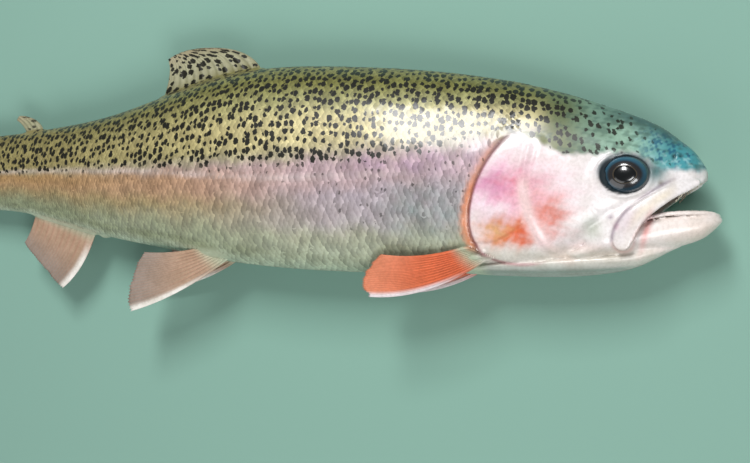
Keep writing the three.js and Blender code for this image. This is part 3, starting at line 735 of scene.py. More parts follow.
def fish_paint(s, y, z):
    """Ground colour, and how densely spotted, at places on the fish."""
    edge = back_edge(s)
    sway = 0.018 * clouded(s, y) + 0.02 * np.sin(s * 0.29 - y * 0.2)
    above = (y - edge) / np.maximum(body.top(s) - edge, 1) + sway
    below = (edge - y) / np.maximum(edge - body.bottom(s), 1) + sway
    cover = from_outline(s, y, gill_cover)
    head = rise(0.5, -0.1, cover) + rise(63, 56, s) * rise(15, 11, y)
    head = np.clip(head + rise(60, 50, s) + rise(80, 74, s) * rise(-28, -31, y), 0, 1)
    over_crown = y - (crown_line(s) + 0.8 * clouded(s * 0.4, y * 0.4))
    crown = rise(-1.5, 1.3, over_crown)

    face = cheek_paint(s, y, cover)
    face = face + (crown_paint(s, y, over_crown) - face) * crown[:, None]
    nostril_pits = patch(s, y, 8.6, 4.6, 0.8, 0.7) + patch(s, y, 10.7, 4.3, 0.8, 0.9)
    # The nostrils' pits painted near-black: painted shade in the openings.
    face = over_paint(face, "122026", 0.95 * nostril_pits)
    ring = eye_ring(s, y)
    on_side = np.abs(z) > 6
    around = np.exp(-(((ring - 0.97) / 0.14) ** 2)) * on_side
    face = over_paint(face, "2f4c54", around * (0.15 + 0.75 * rise(-5, 2, y)))
    # Near-black on the skin inside the eye's outline, in the socket round the globe: painted shade.
    face = over_paint(face, "18242a", rise(1.0, 0.93, ring) * on_side)
    face = over_paint(face, "c99a92", 0.8 * rise(0.5, 0.1, mouth_gap(s, y, z)))

    paint = flank_paint(s, y, above, below, cover)
    paint = paint + (face - paint) * head[:, None]
    # Dark red in the slit behind the gill cover: partly the gills' own red, partly painted shadow under the
    # cover's edge.
    slit = np.exp(-(((cover - 0.5) / 0.55) ** 2)) * rise(60, 68, s) * rise(15, 12, y) * rise(-33, -28, y)
    paint = over_paint(paint, "5c2e30", 0.75 * slit)
    # Painted shade in the notch at the top of the gill opening.
    paint = over_paint(paint, "2c3028", 0.85 * patch(s, y, 65.2, 13.8, 3.6, 0.9, 0.45))
    return paint, spot_density(s, above, below, head, crown)


def mouth_gap(s, y, z):
    """How far a place is outside the mouth's hollows; negative on their lining."""
    return np.minimum.reduce([hollow.gap(s, y, np.abs(z)) for hollow in mouth_hollows])


# Arc length round the body, from the ridge of the back down each side to the belly, gives places
# on the skin: s and the arc lay out both the spots and the rows of scales.
girth_step, turn_steps = 2.0, 240
girth_at = np.arange(-girth_step, 346.0, girth_step)
girth_turns = np.linspace(0, math.pi, turn_steps + 1)


def section_point(s, turn):
    """Where the body's section has a given turn: 0 at the back, pi at the belly, on the right side."""
    power, reach = half_section(s, turn < math.pi / 2)
    ends = round_end(s - body.nose[0], body.nose[1])
    c, n = np.abs(np.cos(turn)) ** (2 / power), np.abs(np.sin(turn)) ** (2 / power)
    return body.middle(s) + np.sign(np.cos(turn)) * reach * ends * c, body.width(s) * ends * n


girth_y, girth_z = section_point(girth_at[:, None], girth_turns[None, :])
girth_arc = np.zeros_like(girth_y)
girth_arc[:, 1:] = np.cumsum(np.hypot(np.diff(girth_y, axis=1), np.diff(girth_z, axis=1)), axis=1)


def between(table, s, column):
    """Reads a table over girth_at and a fractional column."""
    row = np.clip((s - girth_at[0]) / girth_step, 0, len(girth_at) - 1.001)
    column = np.clip(column, 0, table.shape[1] - 1.001)
    i, j = row.astype(int), column.astype(int)
    a, b = row - i, column - j
    return ((table[i, j] * (1 - b) + table[i, j + 1] * b) * (1 - a)
            + (table[i + 1, j] * (1 - b) + table[i + 1, j + 1] * b) * a)


def arc_of(s, y, z):
    """Arc from the back's ridge to a place on or near the skin, in mm; negative on the left side."""
    upper = y > body.middle(s)
    power, reach = half_section(s, upper)
    c = (np.abs(y - body.middle(s)) / reach) ** (power / 2)
    n = (np.abs(z) / body.width(s)) ** (power / 2)
    turn = np.arctan2(n, np.where(upper, c, -c))
    return np.where(z < 0, -1, 1) * between(girth_arc, s, turn / math.pi * turn_steps)


def add_marks(piece, points):
    """Stores paint, spots and place on a piece's vertices, from its places on the straight fish."""
    s, y, z = points.T
    paint, spots = fish_paint(s, y, z)
    store_marks(piece, paint, spots, np.stack([s, arc_of(s, y, z), np.zeros_like(s)], 1), points)


def store(piece, name, kind, key, values):
    """Stores one value for each of a piece's vertices."""
    layer = piece.data.attributes.new(name, kind, "POINT")
    layer.data.foreach_set(key, np.asarray(values, np.float32).ravel())


def store_marks(piece, paint, spots, place, straight):
    """Stores what the skin's material reads: the place lays out the spots, straight the finer grain."""
    store(piece, "paint", "FLOAT_COLOR", "color", np.column_stack([paint, np.ones(len(paint))]))
    store(piece, "spots", "FLOAT", "value", spots)
    store(piece, "place", "FLOAT_VECTOR", "vector", place)
    store(piece, "straight", "FLOAT_VECTOR", "vector", straight)


class Nodes:
    """Short ways to add and wire shader nodes."""

    def __init__(self, name):
        self.material = bpy.data.materials.new(name)
        self.material.use_nodes = True
        self.tree = self.material.node_tree
        self.shader = self.tree.nodes["Principled BSDF"]

    def add(self, kind, **settings):
        node = self.tree.nodes.new(kind)
        for key, value in settings.items():
            setattr(node, key, value)
        return node

    def wire(self, value, socket):
        if isinstance(value, (int, float, tuple)):
            socket.default_value = value
        else:
            self.tree.links.new(value, socket)

    def attribute(self, name, output="Fac"):
        return self.add("ShaderNodeAttribute", attribute_name=name).outputs[output]

    def math(self, operation, a, b):
        node = self.add("ShaderNodeMath", operation=operation)
        self.wire(a, node.inputs[0])
        self.wire(b, node.inputs[1])
        return node.outputs[0]

    def ramp(self, value, start, end, low=0.0, high=1.0):
        node = self.add("ShaderNodeMapRange", interpolation_type="SMOOTHSTEP")
        for socket, entry in zip(node.inputs, (value, start, end, low, high)):
            self.wire(entry, socket)
        return node.outputs[0]

    def noise(self, vector, scale, detail):
        node = self.add("ShaderNodeTexNoise", noise_dimensions="3D")
        self.wire(vector, node.inputs["Vector"])
        self.wire(scale, node.inputs["Scale"])
        self.wire(detail, node.inputs["Detail"])
        return node

    def mix(self, share, a, b, blend="MIX"):
        node = self.add("ShaderNodeMix", data_type="RGBA", blend_type=blend)
        self.wire(share, node.inputs["Factor"])
        self.wire(a, node.inputs[6])
        self.wire(b, node.inputs[7])
        return node.outputs[2]


def spot_nodes(n, straight, density, spot_spacing, spot_reach):
    """Dark ragged spots, one in a cell or none, larger and more often where they stand densely."""
    warp = n.noise(straight, 0.5, 2.0)
    bent = n.add("ShaderNodeVectorMath", operation="MULTIPLY_ADD")
    n.wire(warp.outputs["Color"], bent.inputs[0])
    bent.inputs[1].default_value = (1.6, 1.6, 0)
    n.wire(n.attribute("place", "Vector"), bent.inputs[2])
    taller = n.add("ShaderNodeVectorMath", operation="MULTIPLY")
    n.wire(bent.outputs[0], taller.inputs[0])
    taller.inputs[1].default_value = (1, 0.76, 0)
    cells = n.add("ShaderNodeTexVoronoi", voronoi_dimensions="2D")
    n.wire(taller.outputs[0], cells.inputs["Vector"])
    n.wire(1 / spot_spacing, cells.inputs["Scale"])
    n.wire(0.72, cells.inputs["Randomness"])
    chance = n.add("ShaderNodeSeparateColor")
    n.wire(cells.outputs["Color"], chance.inputs[0])
    ragged = n.noise(straight, 1.3, 2.0)
    uneven = n.math("MULTIPLY", n.math("SUBTRACT", ragged.outputs["Fac"], 0.5), 0.42)
    distance = n.math("ADD", cells.outputs["Distance"], uneven)
    size = n.math("MULTIPLY", n.ramp(chance.outputs[0], 0.0, 1.0, 0.7, 1.2), spot_reach)
    kept = n.math("GREATER_THAN", density, n.math("MULTIPLY", chance.outputs[1], 0.95))
    reach = n.math("MULTIPLY", n.math("MULTIPLY", size, kept), n.ramp(density, 0.0, 1.0, 0.44, 1.18))
    return n.math("MULTIPLY", n.ramp(n.math("SUBTRACT", distance, reach), 0.04, -0.04), kept)


def flake_tone(n):
    """Each scale's own tone, darker at its rim; 1 on pieces without scales."""
    flake = n.add("ShaderNodeSeparateXYZ")
    n.wire(n.attribute("flake", "Vector"), flake.inputs[0])
    tone = n.math("ADD", n.math("MULTIPLY", flake.outputs[1], 0.26), 1.0)
    tone = n.math("MULTIPLY", tone, n.math("SUBTRACT", 1.0, n.math("MULTIPLY", flake.outputs[0], 0.4)))
    grey = n.add("ShaderNodeCombineColor")
    for socket in grey.inputs:
        n.wire(tone, socket)
    return grey.outputs[0]


def skin_material(name, spot_spacing, spot_reach, roughness, coat, bump):
    """Wet skin: paint, dark spots and mottling over it, a mucous coat."""
    n = Nodes(name)
    straight = n.attribute("straight", "Vector")
    density = n.attribute("spots")
    spot = spot_nodes(n, straight, density, spot_spacing, spot_reach)
    mottle = n.noise(straight, 0.16, 3.0).outputs["Fac"]
    grain = n.noise(straight, 0.9, 3.0).outputs["Fac"]
    mottled, grained = n.ramp(mottle, 0.35, 0.65, 0.0, 0.25), n.ramp(grain, 0.42, 0.62, 0.0, 0.22)
    ground = n.mix(mottled, n.attribute("paint", "Color"), (0.55, 0.5, 0.4, 1), "MULTIPLY")
    ground = n.mix(grained, ground, (0.6, 0.58, 0.55, 1), "MULTIPLY")
    inked = n.math("MULTIPLY", spot, n.ramp(density, 0.1, 0.8, 0.62, 1.0))
    colour = n.mix(inked, ground, (0.013, 0.012, 0.007, 1))
    colour = n.mix(1.0, colour, flake_tone(n), "MULTIPLY")
    height = n.add("ShaderNodeBump")
    n.wire(0.35, height.inputs["Strength"])
    n.wire(bump, height.inputs["Distance"])
    n.wire(grain, height.inputs["Height"])
    for value, socket in (
        (colour, "Base Color"),
        (roughness, "Roughness"),
        (coat, "Coat Weight"),
        (0.19, "Coat Roughness"),
        (0.28, "Specular IOR Level"),
        (height.outputs[0], "Normal"),
    ):
        n.wire(value, n.shader.inputs[socket])
    return n.material


skin_look = skin_material(
    "trout_skin", spot_spacing=2.5, spot_reach=0.32, roughness=0.42, coat=0.58, bump=0.00005)
add_marks(skin, skin_points)
skin.data.materials.append(skin_look)


# The scales: small thin plates of bone in pockets of the skin, each overlapping the next toward the
# tail. They start behind the head and the gill cover and run in rows to the root of the tail fin.
rows_above, rows_below = 24, 22
share_steps = 160
turn_shares = np.linspace(0, 1, share_steps + 1)
turn_at_share = np.array([np.interp(turn_shares * arc[-1], arc, girth_turns) for arc in girth_arc])
arc_total = through(*zip(girth_at, girth_arc[:, -1]))
edge_y = back_edge(girth_at)
edge_arc = np.abs(arc_of(girth_at, edge_y, body_side(girth_at, edge_y)))


def skin_place(s, arc):
    """The place on the body's form at an arc from the back, and the way out of it."""
    share = np.abs(arc) / arc_total(s)
    turn = between(turn_at_share, s, share * share_steps)
    y, z = section_point(s, turn)
    z = np.maximum(z, 1e-4)
    _, q_up, q_out = body.level(s, y, z)
    step = 0.2
    q_along = (body.level(s + step, y, z)[0] - body.level(s - step, y, z)[0]) / (2 * step)
    away = np.stack([q_along, np.where(y > body.middle(s), q_up, -q_up), q_out], 1)
    away /= np.linalg.norm(away, axis=1, keepdims=True)
    points = np.stack([s, y, z], 1) - away * coat_depth(s)[:, None]
    flip = np.where(arc < 0, -1.0, 1.0)
    points[:, 2] *= flip
    away[:, 2] *= flip
    return points, away


def settle(points, away):
    """Draws points at the head, and just behind it, onto its relief."""
    near = points[:, 0] < head_end + 2
    for _ in range(3):
        gap = skin_gap(*points[near].T)
        points[near] -= away[near] * np.clip(gap, -0.8, 0.8)[:, None]
    return points


scale_outline = np.array([
    (1, 0), (0.78, 0.66), (0.15, 1), (-0.6, 0.74), (-1, 0), (-0.6, -0.74), (0.15, -1), (0.78, -0.66),
])
scale_plan = np.vstack([scale_outline, [(0.2, 0)]])  # with its middle, where the crest stands
rim_count, top_count = len(scale_outline), len(scale_plan)
points_each = top_count + rim_count  # the under side of a scale has a rim alone
plate, crest = 0.1, 0.14  # thickness of a scale, and height of the lateral line's crests
rim = np.arange(rim_count)
step_on = (rim + 1) % rim_count
scale_faces = np.vstack([
    np.stack([np.full(rim_count, rim_count), step_on, rim], 1),
    np.stack([rim, step_on, rim + top_count], 1),
    np.stack([step_on, step_on + top_count, rim + top_count], 1),
    np.array([(top_count, top_count + k, top_count + k + 1) for k in range(1, rim_count - 1)]),
])

column_step, pitch_share = 0.5, 1.02  # a scale's pitch along the fish, as a share of its row's height
columns_at = np.arange(58.0, 341.0, column_step)
row_height = arc_total(columns_at) / (rows_above + rows_below)
column_count = np.concatenate([[0], np.cumsum(column_step / (pitch_share * row_height[:-1]))])
chance = np.random.default_rng(7)


def scale_sites(side, first_row, last_row):
    """Roots of the scales of a side's rows: place along the fish, arc, half sizes and growth."""
    sites = []
    for row in range(first_row, last_row):
        columns = np.arange(0, column_count[-1], 1.0) + 0.5 * (row % 2)
        s = np.interp(columns, column_count, columns_at)
        to_edge = np.interp(s, girth_at, edge_arc)
        middle = row + 0.5
        if middle <= rows_above:
            arc = to_edge * middle / rows_above
            high = to_edge / rows_above
        else:
            arc = to_edge + (arc_total(s) - to_edge) * (middle - rows_above) / rows_below
            high = (arc_total(s) - to_edge) / rows_below
        pitch = pitch_share * arc_total(s) / (rows_above + rows_below)
        sites.append(np.stack([s, arc, pitch, high], 1))
    sites = np.vstack(sites)
    sites[:, 0] += chance.uniform(-0.05, 0.05, len(sites)) * sites[:, 2]
    points, _ = skin_place(sites[:, 0], sites[:, 1])
    s, y, z = points.T
    clear = np.minimum.reduce([  # how far each stands clear of the skin that is bare
        from_outline(s, y, gill_cover) - 1.7,
        s - 61.5 + 0.06 * (y - 30),  # behind the nape
        s - 87.5 + 60 * rise(-30, -26, y),  # behind the throat
        np.hypot((s - 81) / 1.3, y + 29.6) - 4.6,  # round the pectoral fin's root
        np.hypot(s - 187, (y + 29.6) * 1.5) - 4.5 + 9 * (np.abs(z) < 3),  # round the pelvic fin's
    ])
    sites = np.column_stack([sites, 0.62 + 0.38 * rise(0, 9, clear)])
    sites[:, 1] *= side
    return sites[clear > 0]


def wobble(spread, limit, count):
    """Small random differences, none beyond the limit."""
    return np.clip(chance.normal(0, spread, count), -limit, limit)


def scale_piece(name, side, first_row, last_row):
    """The scales of a side's rows from the first up to the last, joined in one mesh."""
    sites = scale_sites(side, first_row, last_row)
    count = len(sites)
    s, arc, pitch, high, grown = sites.T
    turned = wobble(0.05, 0.1, count)
    long = 0.97 * pitch * grown * chance.uniform(0.95, 1.04, count)
    wide = 1.02 * high * grown
    a, b = scale_plan.T
    along_fish = s[:, None] + long[:, None] * (a - b * turned[:, None])
    round_fish = arc[:, None] + wide[:, None] * (b + a * turned[:, None])
    points, away = skin_place(along_fish.ravel(), round_fish.ravel())
    points = settle(points, away).reshape(count, top_count, 3)
    away = away.reshape(count, top_count, 3)

    # the free rear end stands up a little, and no two scales lie quite alike
    tilt = np.interp(a, (-1, 1), (-0.08, 0.1))
    lift = tilt[None, :] * np.clip(pitch / 1.7, 0.55, 1)[:, None]
    lift = lift + chance.uniform(-0.015, 0.02, count)[:, None]
    roll = wobble(0.024, 0.045, count)
    nod = wobble(0.02, 0.035, count)
    lift = lift + b[None, :] * roll[:, None] + a[None, :] * nod[:, None]
    on_line = np.exp(-(((points[:, -1, 1] - pore_line(s)) / 0.7) ** 2))
    lift = lift + crest * on_line[:, None] * ((b == 0) & (a > -0.5))[None, :]
    top = points + away * lift[:, :, None]
    low = top[:, :rim_count] - away[:, :rim_count] * plate
    straight = np.concatenate([top, low], 1).reshape(-1, 3)
    faces = (scale_faces[None] + points_each * np.arange(count)[:, None, None]).reshape(-1, 3)
    if side < 0:
        faces = faces[:, ::-1]
    piece = mesh_piece(name, posed(straight, lowest=0.1), faces)

    mesh = piece.data
    ends = np.empty(2 * len(mesh.edges), np.int32)
    mesh.edges.foreach_get("vertices", ends)
    corner = ends.reshape(-1, 2) % points_each
    crisp = mesh.attributes.new("sharp_edge", "BOOLEAN", "EDGE")
    on_one_side = np.all(corner < rim_count, axis=1) | np.all(corner > rim_count, axis=1)
    crisp.data.foreach_set("value", on_one_side)
    add_marks(piece, np.concatenate([points, points[:, :rim_count]], 1).reshape(-1, 3))
    tone = np.repeat(chance.uniform(-1, 1, count), points_each)
    dark_rim = np.tile(np.concatenate([np.clip(a, 0, 1) ** 2, np.ones(rim_count)]), count)
    store(piece, "flake", "FLOAT_VECTOR", "vector", np.stack([dark_rim, tone, np.zeros_like(tone)], 1))

    # the map for baking: every scale has a place of its own, laid out as on the fish
    centre = np.stack([(s + 10) / 400, 0.5 + arc / 220], 1)
    plan = np.vstack([scale_plan, scale_outline]) * 0.0014
    flat = (centre[:, None] + plan[None]).reshape(-1, 2)
    baked = mesh.uv_layers.new(name="OFBake")
    baked.data.foreach_set("uv", flat[faces.ravel()].astype(np.float32).ravel())
    piece.data.materials.append(skin_look)
    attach(piece, "root")


scale_piece("scales_right_back", 1, 0, rows_above)
scale_piece("scales_right_belly", 1, rows_above, rows_above + rows_below)
scale_piece("scales_left_back", -1, 0, rows_above)
scale_piece("scales_left_belly", -1, rows_above, rows_above + rows_below)


# The eyes: a globe in each orbit, a little flat, with a thin bronze ring round the pupil and a dark
# bronze and blue iris. The lens bulges in the pupil, and the cornea is wet.
def posed_rigid(points, s):
    """Poses a small hard piece as a whole, by the mid-plane at its place."""
    at_x, at_y, at_z = points.T
    height = float(middle_height(np.array(s))) + at_z
    return np.stack([jaw_tip_x - at_x, jaw_tip_y + at_y, height], 1) * MM


eye_nodes = Nodes("wet_eye")
eye_nodes.wire(eye_nodes.attribute("paint", "Color"), eye_nodes.shader.inputs["Base Color"])
eye_nodes.wire(0.22, eye_nodes.shader.inputs["Roughness"])
eye_nodes.wire(1.0, eye_nodes.shader.inputs["Coat Weight"])
eye_nodes.wire(0.03, eye_nodes.shader.inputs["Coat Roughness"])
globe = np.array([eye_at["half_length"], eye_at["half_height"], eye_at["half_depth"]]) - 0.12
pupil_lean = -0.05  # toward the snout, as a share of the globe
lens_swell = 0.018


def iris_paint(tilt, around, beyond):
    """The eye's colours; beyond is how far a place lies outside the pupil's edge."""
    streak = 0.5 + 0.5 * np.sin(around * 31) * np.sin(around * 13 + 1)
    bronze = rise(0.02, 0.12, beyond) * rise(0.42, 0.2, beyond)
    return layered(
        "141e26", len(tilt),
        ("32261d", 0.6 * bronze * (0.6 + 0.4 * streak)),
        # Blue over the outer iris, stronger toward the top: partly the iris's own blue, partly a painted
        # reflection.
        ("34657c", 0.9 * rise(0.2, 0.45, beyond) * (0.6 + 0.4 * np.sin(around))),
        ("5c4a2c", 0.7 * np.exp(-((beyond - 0.028) / 0.02) ** 2)),
        ("040506", rise(0.0, -0.025, beyond)),
        ("1c2a30", rise(0.95, 1.2, tilt)),
    )


def eye_piece(name, side):
    """One eye, from rings round its axis; tilt is the angle from the pupil's middle."""
    tilts = np.concatenate([
        np.linspace(0.03, 0.36, 7), np.linspace(0.385, 0.52, 8), np.linspace(0.55, 1.2, 14),
        np.linspace(1.3, 3.1, 12),
    ])
    steps = 72
    tilt, around = np.meshgrid(tilts, np.linspace(0, 2 * math.pi, steps, endpoint=False), indexing="ij")
    pupil = 0.44 * (1 + 0.1 * np.exp(-((np.angle(np.exp(1j * (around - math.pi)))) / 0.5) ** 2))
    beyond = tilt - pupil
    swell = 1 + lens_swell * rise(0.02, -0.1, beyond) - 0.012 * np.exp(-((beyond - 0.03) / 0.03) ** 2)
    swell = swell - 0.01 * rise(0.9, 1.3, tilt)
    x = np.sin(tilt) * np.cos(around) + pupil_lean * np.cos(tilt)
    y = np.sin(tilt) * np.sin(around)
    out = np.stack([x, y, side * np.cos(tilt)], 2) * globe * swell[..., None]
    centre = np.array([eye_at["s"], eye_at["y"], side * eye_middle])
    front = centre + (pupil_lean * eye_at["half_length"], 0, side * globe[2] * (1 + lens_swell))
    back = centre - (0, 0, side * globe[2])
    points = np.vstack([(out + centre).reshape(-1, 3), front, back])

    rows = [i * steps for i in range(len(tilts))]
    faces = []
    for j in range(steps):
        k = (j + 1) % steps
        faces += [(near + j, near + k, far + k, far + j) for near, far in zip(rows[:-1], rows[1:])]
        faces.append((len(points) - 2, k, j))
        faces.append((len(points) - 1, rows[-1] + j, rows[-1] + k))
    if side > 0:
        faces = [face[::-1] for face in faces]
    mesh = bpy.data.meshes.new(name)
    mesh.from_pydata([tuple(p) for p in posed_rigid(points, eye_at["s"])], [], faces)
    mesh.polygons.foreach_set("use_smooth", np.full(len(faces), True))
    piece = bpy.data.objects.new(name, mesh)
    bpy.context.scene.collection.objects.link(piece)
    ends = ((tilt, (0, 3)), (around, (0, 0)), (beyond, (-0.4, 2)))  # what front and back have of each
    paint = iris_paint(*(np.append(values.ravel(), end) for values, end in ends))
    store_marks(piece, paint, np.zeros(len(points)), points, points)
    piece.data.materials.append(eye_nodes.material)
    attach(piece, "root")
    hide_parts(name.replace("eyeball", "eye"))


eye_piece("eyeball_right", 1)
eye_piece("eyeball_left", -1)


# The teeth: small cones of ivory that lean back along the inner sides of the upper and lower lips,
# their feet in the bone of the jaws. All of them are one joined mesh.
def between_points(points, share):
    """A smooth line through points, at shares of its length."""
    line = smooth_loop(points, 8, False)
    lengths = np.concatenate([[0], np.cumsum(np.linalg.norm(np.diff(line, axis=0), axis=1))])
    at = share * lengths[-1]
    return np.stack([np.interp(at, lengths, line[:, k]) for k in range(3)], -1)


teeth_on_side = 11
tooth_shares = (np.arange(teeth_on_side) + 0.4) / teeth_on_side
upper_teeth = between_points(
    [(1.6, -3.9, 0.3), (2.6, -4.6, 3), (5, -6.2, 5.2), (8, -8.6, 7), (10.5, -11.4, 8.2)], tooth_shares)
lower_teeth = between_points(
    [(-2.4, -15.9, 0.4), (-1.6, -15.5, 2.3), (1, -15.1, 4.2), (6, -15, 5.9), (11, -15.1, 7.2)], tooth_shares)
tooth_points, tooth_faces = [], []


def add_tooth(foot, up, side, tall):
    """A six-sided cone on a foot of the right side, mirrored for the left; up is 1 in the lower jaw."""
    lean = np.array([0.35, up, -0.12])
    first = len(tooth_points)
    for share, wide in ((-0.6, 0.34), (0.35, 0.25)):
        for angle in np.arange(6) * math.pi / 3:
            spot = foot + lean * tall * share + (wide * math.cos(angle), 0, wide * math.sin(angle))
            tooth_points.append(spot * (1, 1, side))
    tip = foot + lean * tall + (0.12, 0, 0)
    tooth_points.append(tip * (1, 1, side))
    turn = 1 if up * side < 0 else -1
    for j in range(6):
        a, b = first + j, first + (j + 1) % 6
        for face in ((a, b, b + 6), (a, b + 6, a + 6), (a + 6, b + 6, first + 12)):
            tooth_faces.append(face[::turn])
    for j in range(1, 5):
        tooth_faces.append((first, first + j + 1, first + j)[::turn])


for feet, up in ((upper_teeth, -1), (lower_teeth, 1)):
    for side in (1, -1):
        for k, foot in enumerate(feet):
            add_tooth(foot, up, side, 0.95 + 0.25 * math.sin(k * 2.4))
teeth = mesh_piece("teeth", posed_rigid(np.array(tooth_points), 4.0), tooth_faces)
tooth_nodes = Nodes("ivory")
tooth_nodes.wire((0.72, 0.66, 0.52, 1), tooth_nodes.shader.inputs["Base Color"])
tooth_nodes.wire(0.35, tooth_nodes.shader.inputs["Roughness"])
teeth.data.materials.append(tooth_nodes.material)
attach(teeth, "root")


# The fins: soft rays that split toward the margin, with thin membrane between them. Each fin is a
# closed sheet over its rays, thick at the root and thin at a margin that frays a little.
def fin_piece(name, root, edge, bow, thick_root, thick_edge, rays, paint_of, side=1, seed=1, split=0.45,
              spotted=0.0):
    """A fin between its root line and its outer edge, in straight-fish places, mirrored for the left."""
    per_ray = 8
    fray = np.random.default_rng(seed)
    along_root = np.linspace(0, 1, rays * per_ray + 1)
    outward = np.concatenate([[-0.08], np.linspace(0, 1, 30)])  # from a little inside the body
    uu, vv = np.meshgrid(along_root, outward, indexing="ij")

    # rays stand out of the membrane, split toward the margin, and have joints across them
    phase = uu * rays
    ridge = np.cos(math.pi * (phase - np.round(phase))) ** 4
    fine = np.cos(math.pi * (2 * phase - np.round(2 * phase))) ** 4
    share = rise(split - 0.12, split + 0.16, vv + 0.1 * np.sin(np.round(phase) * 2.3))
    relief = ridge * (1 - share) + fine * share * 0.9
    relief = np.maximum(relief, rise(0.5 / rays, 0.1 / rays, uu))
    joints = 0.92 + 0.08 * np.cos(vv * 70 + np.round(phase)) * rise(0.25, 0.6, vv)
    torn = np.interp(uu, np.linspace(0, 1, rays + 1), fray.random(rays + 1) ** 2)
    margin = 1 - 0.018 * (1 - fine) - 0.03 * torn

    # the sheet runs from its root to its edge, bowed between them
    reach = np.where(vv > 0, vv * margin, vv)
    root_at = between_points(root, uu)
    edge_at = between_points(edge, uu)
    sheet = root_at + (edge_at - root_at) * reach[..., None]
    swell = 4 * reach * (1 - reach) * (1 - 0.6 * uu)
    sheet = sheet + np.array(bow)[None, None] * np.where(reach > 0, swell, 0)[..., None]
    face_on = np.cross(np.gradient(sheet, axis=0), np.gradient(sheet, axis=1))
    face_on /= np.maximum(np.linalg.norm(face_on, axis=2, keepdims=True), 1e-9)
    thick = (thick_root + (thick_edge - thick_root) * np.clip(vv, 0, 1) ** 0.7) / 2
    thick = thick * (0.5 + 0.4 * relief * joints)
    thin_margin = np.sqrt(np.clip((1 - vv) / 0.05, 0.12, 1))
    thin_ends = np.sqrt(np.clip(np.minimum(uu, 1 - uu) * rays / 0.6, 0.15, 1))
    half = face_on * (thick * (thin_margin * thin_ends))[..., None]
    points = np.concatenate([(sheet + half).reshape(-1, 3), (sheet - half).reshape(-1, 3)])
    index = np.arange(uu.size).reshape(uu.shape)
    quads = [np.stack([index[:-1, :-1], index[1:, :-1], index[1:, 1:], index[:-1, 1:]], -1).reshape(-1, 4)]
    quads.append(quads[0][:, ::-1] + uu.size)
    for line in (index[:, 0], index[-1, :], index[::-1, -1], index[0, ::-1]):
        quads.append(np.stack([line[1:], line[:-1], line[:-1] + uu.size, line[1:] + uu.size], 1))
    faces = np.vstack(quads)
    points[:, 2] *= side
    if side < 0:
        faces = faces[:, ::-1]
    piece = mesh_piece(name + "_rayed", posed(points, lowest=0.05), faces)

    u, v, relief = (np.tile(value.ravel(), 2) for value in (uu, np.clip(vv, 0, 1), relief))
    length = np.linalg.norm(edge_at - root_at, axis=2).mean()
    chord = sum(math.dist(line[0], line[-1]) for line in (edge, root)) * 0.5
    place = np.stack([u * chord + 40 * seed, v * length, np.zeros_like(u)], 1)
    spots = np.clip(spotted * rise(-0.1, 0.2, v) * rise(1.15, 0.9, v), 0, 1)
    store_marks(piece, paint_of(u, v, relief, points), spots, place, points)
    piece.data.materials.append(fin_look)
    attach(piece, "root")
    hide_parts(name)


def out_of_skin(sheet, v, fade, points):
    """A fin's colours, run out of the paint of the skin beside its root."""
    s, y, z = points.T
    paint, _ = fish_paint(s, y, z)
    return paint + (sheet - paint) * rise(0.0, fade, v)[:, None]


def back_fin_paint(u, v, relief, points):
    sheet = layered(
        "a8a688", len(u),
        ("ada084", rise(0.5, 1, v) * 0.7),
        ("a88a78", rise(0.16, 0.0, u) * rise(0.5, 1, v)),
        ("6d6e50", 0.5 * relief),
    )
    return out_of_skin(sheet, v, 0.3, points)


def belly_fin_paint(u, v, relief, points):
    sheet = layered(
        "b4967e", len(u),
        ("968a80", rise(0.3, 1, v)),
        ("b0806c", 0.35 * relief),
        ("f1ece4", rise(0.13, 0.03, u) * rise(0.1, 0.5, v)),
    )
    return out_of_skin(sheet, v, 0.22, points)


def breast_fin_paint(u, v, relief, points):
    sheet = layered(
        "d96a40", len(u),
        ("dc8a68", rise(0.35, 1, v)),
        ("c4552e", 0.35 * relief),
        ("e9dde0", rise(0.16, 0.03, u) * rise(0.1, 0.45, v)),
    )
    return out_of_skin(sheet, v, 0.18, points)


fin_look = skin_material(
    "trout_fin", spot_spacing=2.7, spot_reach=0.3, roughness=0.5, coat=0.12, bump=0.00004)


def on_back(s, sunk):
    return (s, float(body.top(s)) - sunk, 0)


def on_belly(s, sunk):
    return (s, float(body.bottom(s)) + sunk, 0)


fin_piece(
    "dorsal_fin", [on_back(s, 2) for s in (169, 184, 200, 215)],
    [(199.4, 53, -1.5), (203.6, 52.7, -1.2), (208.4, 51.6, -1), (212.6, 49.6, -0.6)],
    bow=(-5, 3.4, 0), thick_root=2, thick_edge=0.6, rays=12, paint_of=back_fin_paint,
    seed=3, spotted=0.95)
fin_piece(
    "adipose_fin", [on_back(s, 1.5) for s in (276, 281, 285)],
    [(287, 29.2, 0), (290, 29.4, 0), (291.4, 27.6, 0)],
    bow=(-2.4, 1, 0), thick_root=2.2, thick_edge=1, rays=4, paint_of=back_fin_paint,
    seed=5, split=2, spotted=0.5)
fin_piece(
    "anal_fin", [on_belly(s, 2) for s in (247.5, 259, 270, 280)],
    [(268, -46, -2.5), (274, -41, -2.2), (281, -34, -1.6), (288, -26.5, -1)],
    bow=(-1.5, -2.5, 0), thick_root=1.8, thick_edge=0.6, rays=11, paint_of=belly_fin_paint,
    seed=6)


def tail_edge(share):
    """The slightly forked margin, from its upper lobe at 1 to its lower lobe at -1."""
    back = 387 - 15 * (1 - abs(share) ** 1.6) - 1.5 * abs(share) ** 12
    return (back, 4.4 + 35 * math.copysign(abs(share) ** 0.9, share), 0)


fin_piece(
    "tail_fin", [(339, y, 0) for y in (22.4, 14, 4.4, -5.2, -13.6)],
    [tail_edge(share) for share in np.linspace(1, -1, 17)],
    bow=(0, 0, 0), thick_root=2.4, thick_edge=0.7, rays=22, paint_of=back_fin_paint,
    seed=8, spotted=0.9)

